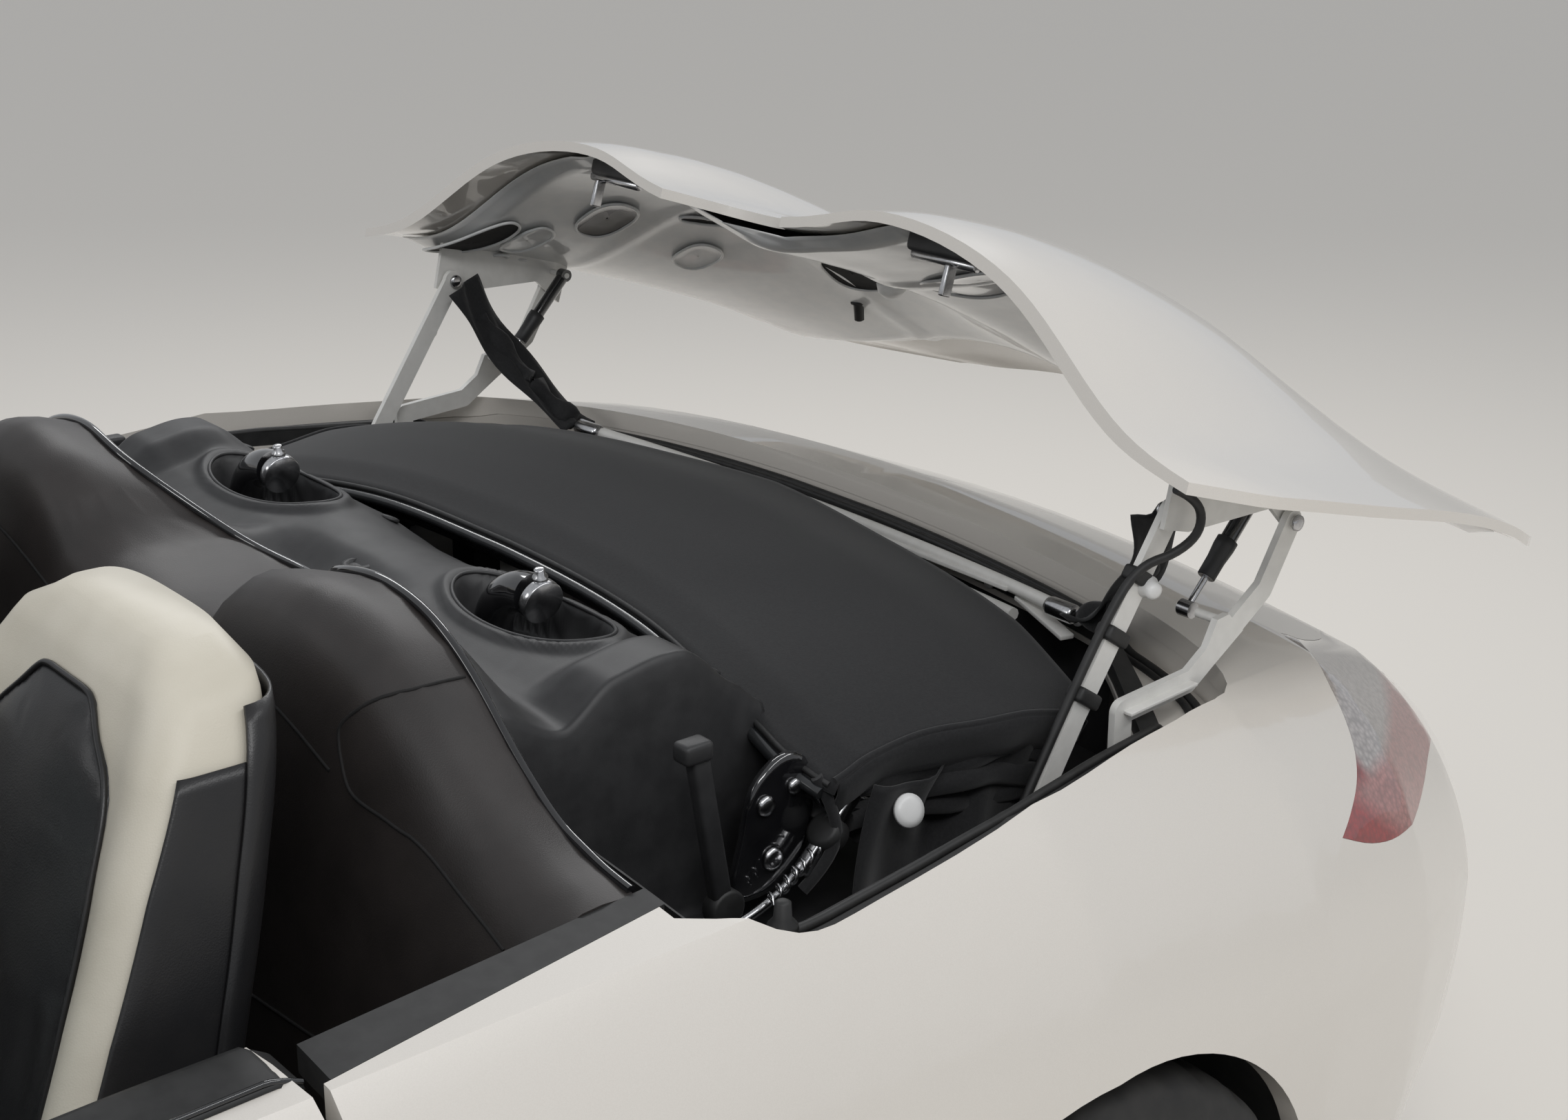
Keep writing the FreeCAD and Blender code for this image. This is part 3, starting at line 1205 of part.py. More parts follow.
def oval_wire(x, cy, cz, half_w, half_h):
    """Closed upright wire: two round ends joined by straight edges."""
    straight = half_w - half_h
    left, right = cy + straight, cy - straight
    return Part.Wire([
        line_edge(x, (right, cz + half_h), (left, cz + half_h)),
        arc_edge(x, (left, cz + half_h), (left + half_h, cz), (left, cz - half_h)),
        line_edge(x, (left, cz - half_h), (right, cz - half_h)),
        arc_edge(x, (right, cz - half_h), (right - half_h, cz), (right, cz + half_h)),
    ])


def driver_controls():
    """Steering wheel on its tilted axis and the door mirrors."""
    centre = V(190, SEAT_Y, 732.8)
    axis = V(175, 0, -67)
    axis.normalize()
    rim = Part.makeTorus(174, 15, centre, axis)
    hub = Part.makeCylinder(55, 26, centre + axis * -8, axis)
    spokes = []
    side_vector = V(0, 1, 0)
    down = axis.cross(side_vector)
    for direction in (side_vector, side_vector * -1, down):
        if direction.z > 0.5:
            direction = direction * -1
        spokes.append(Part.makeCylinder(13, 172, centre + axis * 4, direction))
    whole = fused([rim, hub] + spokes)
    stub = Part.makeCylinder(COLUMN_R + SEAT_FIT, 60, V(205, SEAT_Y, 727), axis)
    save("steering_wheel", [one(whole.cut(stub))])
    housing = Part.makeLoft([oval_wire(*row) for row in MIRROR_SECTIONS], True, True)
    stalk = rod((560, 735, 870), (540, 850, 945), 14)
    mirror = one(fused([stalk, housing]).cut(NODES["door_left"]))
    save("mirror_left", [mirror])
    save("mirror_right", [mirrored(mirror)])


panels()
structure()
compartment()
cover_and_linkage()
cabin()
windscreen()
running_gear()
driver_controls()
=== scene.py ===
import json
import math

import bmesh
import bpy
from mathutils import Matrix, Vector, noise as solid_noise
from mathutils.bvhtree import BVHTree


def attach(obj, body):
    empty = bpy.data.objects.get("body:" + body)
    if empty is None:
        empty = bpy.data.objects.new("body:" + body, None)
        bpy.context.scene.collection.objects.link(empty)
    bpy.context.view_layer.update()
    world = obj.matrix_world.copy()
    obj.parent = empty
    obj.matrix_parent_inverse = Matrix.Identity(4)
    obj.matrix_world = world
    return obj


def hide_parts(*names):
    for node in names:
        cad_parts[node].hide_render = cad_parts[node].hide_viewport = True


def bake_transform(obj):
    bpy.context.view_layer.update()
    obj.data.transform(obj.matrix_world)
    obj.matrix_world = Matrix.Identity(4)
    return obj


# Looks of a two-seat roadster with its tonneau cover raised. Metres, +X forward, +Y left, +Z up.

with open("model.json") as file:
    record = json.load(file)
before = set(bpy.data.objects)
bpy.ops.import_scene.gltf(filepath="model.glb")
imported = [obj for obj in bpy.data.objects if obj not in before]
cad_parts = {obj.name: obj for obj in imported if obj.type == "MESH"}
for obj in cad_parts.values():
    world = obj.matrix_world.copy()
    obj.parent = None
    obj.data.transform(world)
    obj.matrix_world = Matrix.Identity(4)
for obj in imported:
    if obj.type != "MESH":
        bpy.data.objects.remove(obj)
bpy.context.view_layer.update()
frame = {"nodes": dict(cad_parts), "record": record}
NODES = frame["nodes"]

# Camera at the photograph's viewing angle
CAMERA_PLACE = (0.198, 2.007, 1.79)
CAMERA_YAW = -130.77
CAMERA_PITCH = 19.66
CAMERA_ROLL = 0.94
LENS = 50.78
SENSOR = 36.0

# Cover, shut and raised, in the side plane
COVER_TURN = math.radians(15.0)
CORNER_SHUT = (-0.780, 0.930)
CORNER_OPEN = (-1.390, 1.168)


def make_camera():
    yaw, pitch, roll = (math.radians(a) for a in (CAMERA_YAW, CAMERA_PITCH, CAMERA_ROLL))
    forward = Vector((math.cos(yaw) * math.cos(pitch), math.sin(yaw) * math.cos(pitch), -math.sin(pitch)))
    level = Vector((math.sin(yaw), -math.cos(yaw), 0.0))
    above = level.cross(forward)
    right = level * math.cos(roll) + above * math.sin(roll)
    up = above * math.cos(roll) - level * math.sin(roll)
    camera = bpy.data.objects.new("camera", bpy.data.cameras.new("camera"))
    bpy.context.scene.collection.objects.link(camera)
    camera.data.lens = LENS
    camera.data.sensor_width = SENSOR
    camera.data.clip_start = 0.05
    camera.data.clip_end = 60.0
    turn = Matrix((right, up, -forward)).transposed().to_4x4()
    camera.matrix_world = Matrix.Translation(CAMERA_PLACE) @ turn
    bpy.context.scene.camera = camera


def area_light(name, place, target, size, power):
    light = bpy.data.lights.new(name, "AREA")
    light.shape = "RECTANGLE"
    light.size, light.size_y = size
    light.energy = power
    lamp = bpy.data.objects.new(name, light)
    bpy.context.scene.collection.objects.link(lamp)
    lamp.location = place
    lamp.rotation_euler = (Vector(target) - Vector(place)).to_track_quat("-Z", "Y").to_euler()


def make_stage():
    """Pale floor, pale surroundings and soft overhead light."""
    mesh = bpy.data.meshes.new("floor")
    half = 60.0
    mesh.from_pydata(
        [(-half, -half, 0), (half, -half, 0), (half, half, 0), (-half, half, 0)], [], [(0, 1, 2, 3)]
    )
    floor = bpy.data.objects.new("floor", mesh)
    bpy.context.scene.collection.objects.link(floor)
    floor.data.materials.append(plain("floor_paint", (0.78, 0.74, 0.68), 0.5))
    world = bpy.data.worlds.new("world")
    bpy.context.scene.world = world
    world.use_nodes = True
    back = world.node_tree.nodes["Background"]
    back.inputs["Color"].default_value = (0.80, 0.82, 0.85, 1.0)
    back.inputs["Strength"].default_value = 0.62
    area_light("key", (1.5, 3.6, 4.6), (-0.9, 0.0, 0.8), (2.4, 0.8), 70.0)
    area_light("strip_left", (-2.2, 2.6, 4.2), (-1.2, 0.0, 0.8), (4.5, 0.35), 48.0)
    area_light("strip_far", (-3.5, -3.0, 3.8), (-1.2, 0.0, 0.8), (4.0, 0.4), 60.0)
    area_light("front_fill", (4.5, -1.5, 3.6), (0.5, 0.0, 0.6), (2.5, 1.5), 40.0)


# Materials

def linked(tree, node, inputs):
    """Sets a node's inputs to values, or links them to other nodes' outputs."""
    for key, value in inputs.items():
        socket = node.inputs[key]
        if isinstance(value, bpy.types.NodeSocket):
            tree.links.new(value, socket)
        else:
            socket.default_value = value
    return node


def shader_node(tree, kind, inputs, **settings):
    node = tree.nodes.new("ShaderNode" + kind)
    for key, value in settings.items():
        setattr(node, key, value)
    return linked(tree, node, inputs)


def new_material(name):
    material = bpy.data.materials.new(name)
    material.use_nodes = True
    return material, material.node_tree, material.node_tree.nodes["Principled BSDF"]


def plain(name, colour, roughness):
    material, tree, shader = new_material(name)
    linked(tree, shader, {"Base Color": (*colour, 1.0), "Roughness": roughness})
    return material


def noise(tree, scale):
    vector = shader_node(tree, "TexCoord", {}).outputs["Object"]
    inputs = {"Scale": scale, "Detail": 4.0, "Roughness": 0.5, "Vector": vector}
    return shader_node(tree, "TexNoise", inputs)


def cells(tree, scale):
    vector = shader_node(tree, "TexCoord", {}).outputs["Object"]
    return shader_node(tree, "TexVoronoi", {"Scale": scale, "Vector": vector})


def bump(tree, texture, strength, distance):
    inputs = {"Strength": strength, "Distance": distance, "Height": texture.outputs[0]}
    return shader_node(tree, "Bump", inputs).outputs["Normal"]


def textured(name, colour, other, roughness, scale, strength, distance, fine=None, **more):
    """Two close colours over noise, with grain in the surface."""
    material, tree, shader = new_material(name)
    ramp = shader_node(tree, "ValToRGB", {"Fac": noise(tree, scale).outputs[0]})
    for stop, position, shade in zip(ramp.color_ramp.elements, (0.35, 0.65), (colour, other)):
        stop.position = position
        stop.color = (*shade, 1.0)
    grain = cells(tree, fine) if fine else noise(tree, scale * 6)
    inputs = {key.replace("_", " "): value for key, value in more.items()}
    inputs["Base Color"] = ramp.outputs["Color"]
    inputs["Roughness"] = roughness
    inputs["Normal"] = bump(tree, grain, strength, distance)
    linked(tree, shader, inputs)
    return material


# Slot: name, two colours, roughness, noise scale, bump strength and distance, and what else differs
MATERIAL_ROWS = {
    "body_paint": ("ivory_paint", (0.66, 0.625, 0.575), (0.685, 0.65, 0.60),
        0.28, 900.0, 0.02, 0.0001, {"Coat_Weight": 1.0, "Coat_Roughness": 0.03}),
    "hinge_paint": ("hinge_paint", (0.70, 0.69, 0.66), (0.75, 0.74, 0.71),
        0.38, 60.0, 0.05, 0.0004, {"Coat_Weight": 0.3}),
    "lining_paint": ("lining_paint", (0.62, 0.63, 0.63), (0.67, 0.67, 0.66),
        0.33, 40.0, 0.04, 0.0004, {"Coat_Weight": 0.7}),
    "black_trim": ("moulded_black", (0.018, 0.018, 0.019), (0.027, 0.027, 0.028),
        0.50, 40.0, 0.15, 0.0003, {"fine": 900.0}),
    "gloss_black": ("piano_black", (0.006, 0.006, 0.007), (0.010, 0.010, 0.011),
        0.12, 30.0, 0.01, 0.0002, {"Coat_Weight": 1.0, "Coat_Roughness": 0.02}),
    "dark_leather": ("dark_leather", (0.020, 0.017, 0.016), (0.029, 0.0245, 0.023),
        0.46, 14.0, 0.2, 0.0004, {"fine": 700.0}),
    "two_tone_leather": ("black_leather", (0.013, 0.013, 0.014), (0.020, 0.019, 0.019),
        0.36, 12.0, 0.2, 0.0004, {"fine": 650.0}),
    "cream_leather": ("cream_leather", (0.58, 0.54, 0.45), (0.64, 0.60, 0.51),
        0.46, 9.0, 0.22, 0.0004, {"fine": 620.0}),
    "top_fabric": ("top_fabric", (0.007, 0.007, 0.008), (0.012, 0.012, 0.013),
        0.9, 350.0, 0.35, 0.0005, {"fine": 1500.0, "Sheen_Weight": 0.12}),
    "seal_rubber": ("seal_rubber", (0.012, 0.012, 0.012), (0.020, 0.020, 0.020),
        0.55, 60.0, 0.1, 0.0004, {}),
    "tyre": ("tyre_rubber", (0.016, 0.016, 0.016), (0.026, 0.025, 0.024), 0.75, 35.0, 0.12, 0.0006, {}),
    "alloy": ("alloy", (0.42, 0.43, 0.45), (0.50, 0.51, 0.53),
        0.3, 200.0, 0.03, 0.0002, {"Metallic": 0.85}),
    "chassis": ("chassis_black", (0.020, 0.020, 0.021), (0.040, 0.038, 0.036), 0.7, 18.0, 0.2, 0.001, {}),
    "lamp_red": ("lamp_red", (0.36, 0.010, 0.012), (0.44, 0.016, 0.018),
        0.10, 90.0, 0.02, 0.0003, {"Coat_Weight": 1.0}),
    "lamp_clear": ("lamp_clear", (0.72, 0.74, 0.76), (0.80, 0.81, 0.83),
        0.06, 90.0, 0.02, 0.0003, {"Transmission_Weight": 0.75, "Coat_Weight": 1.0}),
    "screen_glass": ("screen_glass", (0.80, 0.88, 0.86), (0.82, 0.90, 0.88),
        0.02, 4.0, 0.0, 0.0001, {"Transmission_Weight": 0.95, "IOR": 1.2}),
    "strut_metal": ("polished_steel", (0.48, 0.48, 0.49), (0.56, 0.56, 0.57),
        0.22, 300.0, 0.03, 0.0001, {"Metallic": 1.0}),
    "exhaust_metal": ("brushed_steel", (0.46, 0.46, 0.47), (0.55, 0.55, 0.56),
        0.3, 240.0, 0.05, 0.0002, {"Metallic": 1.0}),
    "seal_gloss": ("seal_gloss", (0.010, 0.011, 0.012), (0.016, 0.017, 0.018),
        0.28, 50.0, 0.03, 0.0002, {"Coat_Weight": 0.4}),
    "plate": ("blank_plate", (0.52, 0.52, 0.50), (0.56, 0.56, 0.54), 0.42, 60.0, 0.05, 0.0003, {}),
    "exhaust_inside": ("exhaust_inside", (0.05, 0.048, 0.045), (0.08, 0.076, 0.070),
        0.55, 90.0, 0.2, 0.0004, {"Metallic": 0.6}),
    # groove: near-black paint for the shade inside seams, shut lines and holes (painted shade)
    "groove": ("painted_groove_shade", (0.004, 0.004, 0.004), (0.008, 0.007, 0.007), 0.8, 80.0, 0.1, 0.0002, {}),
    "thread": ("thread", (0.09, 0.08, 0.07), (0.14, 0.13, 0.11), 0.7, 900.0, 0.3, 0.0002, {}),
    "clip_white": ("clip_white", (0.74, 0.74, 0.73), (0.78, 0.78, 0.77), 0.35, 70.0, 0.05, 0.0003, {}),
    "screen_dark": ("screen_dark", (0.010, 0.012, 0.014), (0.014, 0.016, 0.018),
        0.08, 6.0, 0.0, 0.0001, {"Coat_Weight": 1.0}),
    "mirror_glass": ("mirror_glass", (0.75, 0.77, 0.79), (0.78, 0.80, 0.82),
        0.03, 5.0, 0.0, 0.0001, {"Metallic": 1.0}),
}
MATERIALS = {slot: textured(*row[:-1], **row[-1]) for slot, row in MATERIAL_ROWS.items()}

SIDES = ((1, "left"), (-1, "right"))


# Shapes

def place(obj, material, body, slot=None):
    """Gives a piece its material and its body; the slot is not used."""
    bpy.context.scene.collection.objects.link(obj)
    obj.data.materials.append(MATERIALS[material])
    if body is not None:
        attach(obj, body)
    return obj


def mesh_piece(name, points, faces, material, body="body", slot=None):
    mesh = bpy.data.meshes.new(name)
    mesh.from_pydata([tuple(p) for p in points], [], faces)
    mesh.validate()
    work = bmesh.new()
    work.from_mesh(mesh)
    bmesh.ops.recalc_face_normals(work, faces=work.faces)
    work.to_mesh(mesh)
    work.free()
    for face in mesh.polygons:
        face.use_smooth = True
    return place(bpy.data.objects.new(name, mesh), material, body, slot)


def grid_faces(rows, wide, closed=False):
    faces = []
    for i in range(rows - 1):
        for j in range(wide if closed else wide - 1):
            k = (j + 1) % wide
            faces.append((i * wide + j, i * wide + k, (i + 1) * wide + k, (i + 1) * wide + j))
    return faces


def grid_piece(name, rows, material, body="body", slot=None, thick=0.0, closed=False):
    """A skin over rows of points, with a thickness if given."""
    points = [p for row in rows for p in row]
    faces = grid_faces(len(rows), len(rows[0]), closed)
    piece = mesh_piece(name, points, faces, material, body, slot)
    if thick:
        skin = piece.modifiers.new("thick", "SOLIDIFY")
        skin.thickness = thick
        skin.offset = 0.0
    return piece


def ring_piece(name, rings, material, body="body", slot=None):
    """A closed skin through rings of points, capped at both ends."""
    wide = len(rings[0])
    points = [p for ring in rings for p in ring]
    faces = grid_faces(len(rings), wide, True)
    faces.append(tuple(range(wide)))
    faces.append(tuple((len(rings) - 1) * wide + j for j in range(wide)))
    return mesh_piece(name, points, faces, material, body, slot)


def tube(name, points, radius, material, body="body", slot=None, closed=False):
    """A round tube along a smooth line of points."""
    curve = bpy.data.curves.new(name, "CURVE")
    curve.dimensions = "3D"
    curve.resolution_u = 4
    spline = curve.splines.new("NURBS")
    spline.points.add(len(points) - 1)
    for knot, point in zip(spline.points, points):
        knot.co = (*point, 1.0)
    spline.order_u = 3
    spline.use_endpoint_u = not closed
    spline.use_cyclic_u = closed
    curve.bevel_depth = radius
    curve.bevel_resolution = 3
    curve.use_fill_caps = True
    return place(bpy.data.objects.new(name, curve), material, body, slot)


def block(name, centre, size, material, body="body", slot=None, turn=None, bevel=0.25):
    """A box with rounded edges, turned by a matrix if given."""
    work = bmesh.new()
    bmesh.ops.create_cube(work, size=1.0)
    bmesh.ops.scale(work, vec=size, verts=work.verts)
    edge = min(size) * bevel
    bmesh.ops.bevel(work, geom=work.edges, offset=edge, segments=3, profile=0.5, affect="EDGES")
    if turn is not None:
        bmesh.ops.transform(work, matrix=turn, verts=work.verts)
    bmesh.ops.translate(work, vec=centre, verts=work.verts)
    mesh = bpy.data.meshes.new(name)
    work.to_mesh(mesh)
    work.free()
    for face in mesh.polygons:
        face.use_smooth = True
    return place(bpy.data.objects.new(name, mesh), material, body, slot)


def turned(name, profile, start, axis, material, body="body", slot=None, steps=40):
    """A turned piece: (distance along the axis, radius) pairs about an axis from a start."""
    axis = Vector(axis).normalized()
    side = axis.orthogonal().normalized()
    other = axis.cross(side)
    rings = []
    for along, radius in profile:
        centre = Vector(start) + axis * along
        rings.append([
            centre + (side * math.cos(a) + other * math.sin(a)) * max(radius, 0.0002)
            for a in circle(steps)
        ])
    return ring_piece(name, rings, material, body, slot)


def bar(name, start, end, wide, deep, material, body="body", slot=None, up=(0, 0, 1)):
    """A rounded flat bar between two points."""
    start, end = Vector(start), Vector(end)
    along = (end - start).normalized()
    side = along.cross(Vector(up)).normalized()
    top = side.cross(along)
    turn = Matrix((along, side, top)).transposed().to_4x4()
    size = ((end - start).length, wide, deep)
    return block(name, (start + end) / 2, size, material, body, slot, turn)


def circle(count):
    return [2 * math.pi * k / count for k in range(count)]


def power(value, exponent):
    return math.copysign(abs(value) ** exponent, value)


def oval(half_u, half_v, steps, square_u=1.0, square_v=None):
    """Pairs round an ellipse; exponents under 1 square its corners."""
    square_v = square_v or square_u
    return [(half_u * power(math.cos(a), square_u), half_v * power(math.sin(a), square_v))
            for a in circle(steps)]


def spaced(a, b, count):
    return [a + (b - a) * i / (count - 1) for i in range(count)]


def soft_step(edge0, edge1, value):
    t = min(1.0, max(0.0, (value - edge0) / (edge1 - edge0)))
    return t * t * (3 - 2 * t)


def spline_line(points, steps, closed=False):
    """Points with more between each pair, on a curve through all of them."""
    points = [Vector(p) for p in points]
    if closed:
        ends = [points[-1]] + points + [points[0], points[1]]
    else:
        ends = [points[0]] + points + [points[-1]]
    dense = [] if closed else [points[0]]
    for p, q, r, s in zip(ends, ends[1:], ends[2:], ends[3:]):
        for step in range(1, steps + 1):
            t = step / steps
            dense.append(0.5 * (2 * q + (r - p) * t + (2 * p - 5 * q + 4 * r - s) * t * t
                                + (3 * q - p - 3 * r + s) * t ** 3))
    return dense


def between(table, at):
    """Each column of a table at a value of its first column, on smooth curves."""
    rows = sorted(table)
    at = min(max(at, rows[0][0]), rows[-1][0])
    i = max(k for k in range(len(rows) - 1) if rows[k][0] <= at)
    before, here = rows[max(i - 1, 0)], rows[i]
    after, last = rows[i + 1], rows[min(i + 2, len(rows) - 1)]
    t = (at - here[0]) / (after[0] - here[0])
    made = []
    for p, q, r, s in zip(before[1:], here[1:], after[1:], last[1:]):
        made.append(0.5 * (2 * q + (r - p) * t + (2 * p - 5 * q + 4 * r - s) * t * t
                           + (3 * q - p - 3 * r + s) * t ** 3))
    return made


def tree_of(*names):
    """Search tree over CAD nodes' faces, in the row frame."""
    points, faces = [], []
    for name in names:
        node = NODES[name]
        start = len(points)
        points += [node.matrix_world @ v.co for v in node.data.vertices]
        faces += [tuple(start + i for i in face.vertices) for face in node.data.polygons]
    return BVHTree.FromPolygons(points, faces)


def snapped(tree, points, lift):
    """Points moved to the nearest place on a surface and lifted off it."""
    made = []
    for point in points:
        spot, normal, _, _ = tree.find_nearest(Vector(point))
        made.append(spot + normal * lift)
    return made


def cast(tree, start, direction):
    """Where a ray meets a surface, with the surface's direction facing the ray."""
    spot, normal, _, _ = tree.ray_cast(Vector(start), Vector(direction))
    if spot is not None and normal.dot(Vector(direction)) > 0:
        normal = -normal
    return spot, normal


def raised(x, y, z):
    """A place on the shut cover, moved to the raised pose."""
    dx, dz = x - CORNER_SHUT[0], z - CORNER_SHUT[1]
    c, s = math.cos(COVER_TURN), math.sin(COVER_TURN)
    return Vector((CORNER_OPEN[0] + dx * c - dz * s, y, CORNER_OPEN[1] + dx * s + dz * c))


def dress_frame():
    """Gives every CAD node the material of its slot and smooth shading."""
    for row in frame["record"]["subparts"]:
        node = NODES[row["node"]]
        node.data.materials.clear()
        node.data.materials.append(MATERIALS[row["material_slot"]])
        for face in node.data.polygons:
            face.material_index = 0
            face.use_smooth = True
        normals = node.data.attributes.get("custom_normal")
        if normals is not None:
            node.data.attributes.remove(normals)
        node.modifiers.new("weld", "WELD").merge_threshold = 0.00002
        split = node.modifiers.new("split", "EDGE_SPLIT")
        split.split_angle = math.radians(32.0)
        weighted = node.modifiers.new("weighted", "WEIGHTED_NORMAL")
        weighted.keep_sharp = True


# Rear trim: seams, hatch and piping

SEAMS = {
    "hatch_line_": [
        (-0.651, 0.448, 0.988), (-0.66, 0.441, 1.008), (-0.677, 0.459, 1.028), (-0.706, 0.477, 1.037),
        (-0.758, 0.47, 1.035),
    ],
    "hatch_low_line_": [
        (-0.651, 0.448, 0.988), (-0.644, 0.471, 0.961), (-0.654, 0.517, 0.949), (-0.663, 0.558, 0.937),
        (-0.666, 0.617, 0.91), (-0.669, 0.672, 0.887),
    ],
    "hump_seam_": [(-0.64, 0.10, 0.93), (-0.648, 0.22, 0.985), (-0.648, 0.33, 1.00), (-0.645, 0.44, 0.97)],
    "foot_seam_": [(-0.6, 0.12, 0.70), (-0.6, 0.35, 0.72), (-0.602, 0.60, 0.74), (-0.602, 0.70, 0.75)],
}
SEAM_R = 0.0018


def flipped(points, side):
    return [(x, y * side, z) for x, y, z in points]


def trim_details():
    tree = tree_of("rear_trim")
    for side, name in SIDES:
        # Seams and the hatch's shut lines are near-black tubes: painted shade in their grooves
        for stem, points in SEAMS.items():
            line = snapped(tree, spline_line(flipped(points, side), 6), 0.0)
            tube(stem + name, line, SEAM_R, "groove")
    edge = [(trim_rear(y)[0], y, trim_rear(y)[1]) for y in spaced(-0.712, 0.712, 60)]
    tube("trim_piping", edge, 0.0045, "gloss_black")


TRIM_REAR = [
    (0.0, -0.862, 0.978), (0.120, -0.840, 0.992), (0.220, -0.772, 1.062), (0.330, -0.768, 1.084),
    (0.440, -0.768, 1.056), (0.580, -0.764, 0.962), (0.650, -0.762, 0.936), (0.716, -0.760, 0.928),
]


def trim_rear(y):
    """Rear edge of the cabin's rear trim: x and z at a place across the car."""
    return between(TRIM_REAR, abs(y))


# Seats. Columns: z, front x, back x, half width, wing depth.

SEAT_Y = 0.372
SEAT_BACK = [
    (0.395, -0.300, -0.380, 0.235, 0.030), (0.480, -0.262, -0.392, 0.250, 0.055),
    (0.620, -0.285, -0.420, 0.252, 0.070), (0.760, -0.330, -0.462, 0.243, 0.065),
    (0.880, -0.372, -0.500, 0.225, 0.050), (0.980, -0.405, -0.530, 0.205, 0.034),
    (1.060, -0.435, -0.552, 0.182, 0.020), (1.110, -0.458, -0.560, 0.150, 0.010),
    (1.136, -0.482, -0.545, 0.100, 0.004),
]
PANEL_SEAM_Z = 0.75


def seat_point(a, z, grow=0.0):
    """Place on the backrest's outline at a height, with wings at its front edges."""
    front, back, half, wing = between(SEAT_BACK, z)
    y = (half + grow) * power(math.cos(a), 0.62)
    x = (front + back) / 2 + ((front - back) / 2 + grow) * power(math.sin(a), 0.62)
    if math.sin(a) > 0:
        x += wing * soft_step(0.50, 0.92, abs(y) / half)
    return Vector((x, SEAT_Y + y, z))


def mirror_of(piece, name):
    """The same piece on the other side of the car."""
    copy = piece.copy()
    copy.data = piece.data.copy()
    copy.name = name
    copy.data.transform(Matrix.Diagonal((1, -1, 1, 1)))
    if hasattr(copy.data, "flip_normals"):
        copy.data.flip_normals()
    bpy.context.scene.collection.objects.link(copy)
    return copy


def puff(piece, held, most, voxel=0.006):
    """Fills a padded piece by a short cloth simulation, then keeps the shape."""
    remesh = piece.modifiers.new("remesh", "REMESH")
    remesh.mode = "VOXEL"
    remesh.voxel_size = voxel
    remesh.use_smooth_shade = True
    keep_shape(piece)
    mesh = piece.data
    before = [v.co.copy() for v in mesh.vertices]
    group = piece.vertex_groups.new(name="held")
    group.add([i for i, p in enumerate(before) if held(p)], 1.0, "REPLACE")
    cloth = piece.modifiers.new("cloth", "CLOTH")
    cloth.settings.quality = 6
    cloth.settings.vertex_group_mass = "held"
    cloth.settings.use_pressure = True
    cloth.settings.uniform_pressure_force = 4.0
    cloth.settings.effector_weights.gravity = 0.0
    cloth.settings.tension_stiffness = 12.0
    cloth.settings.compression_stiffness = 12.0
    cloth.collision_settings.use_collision = False
    for number in range(1, 21):
        bpy.context.scene.frame_set(number)
    shown = piece.evaluated_get(bpy.context.evaluated_depsgraph_get()).data
    after = [v.co.copy() for v in shown.vertices]
    piece.modifiers.remove(cloth)
    bpy.context.scene.frame_set(1)
    for vertex, old, new in zip(mesh.vertices, before, after):
        step = new - old
        if step.length > most:
            step = step * (most / step.length)
        vertex.co = old + step
    mesh.update()


def keep_shape(piece):
    """Applies a piece's modifiers to its mesh."""
    shown = piece.evaluated_get(bpy.context.evaluated_depsgraph_get())
    mesh = bpy.data.meshes.new_from_object(shown)
    piece.modifiers.clear()
    piece.data = mesh
    for face in mesh.polygons:
        face.use_smooth = True


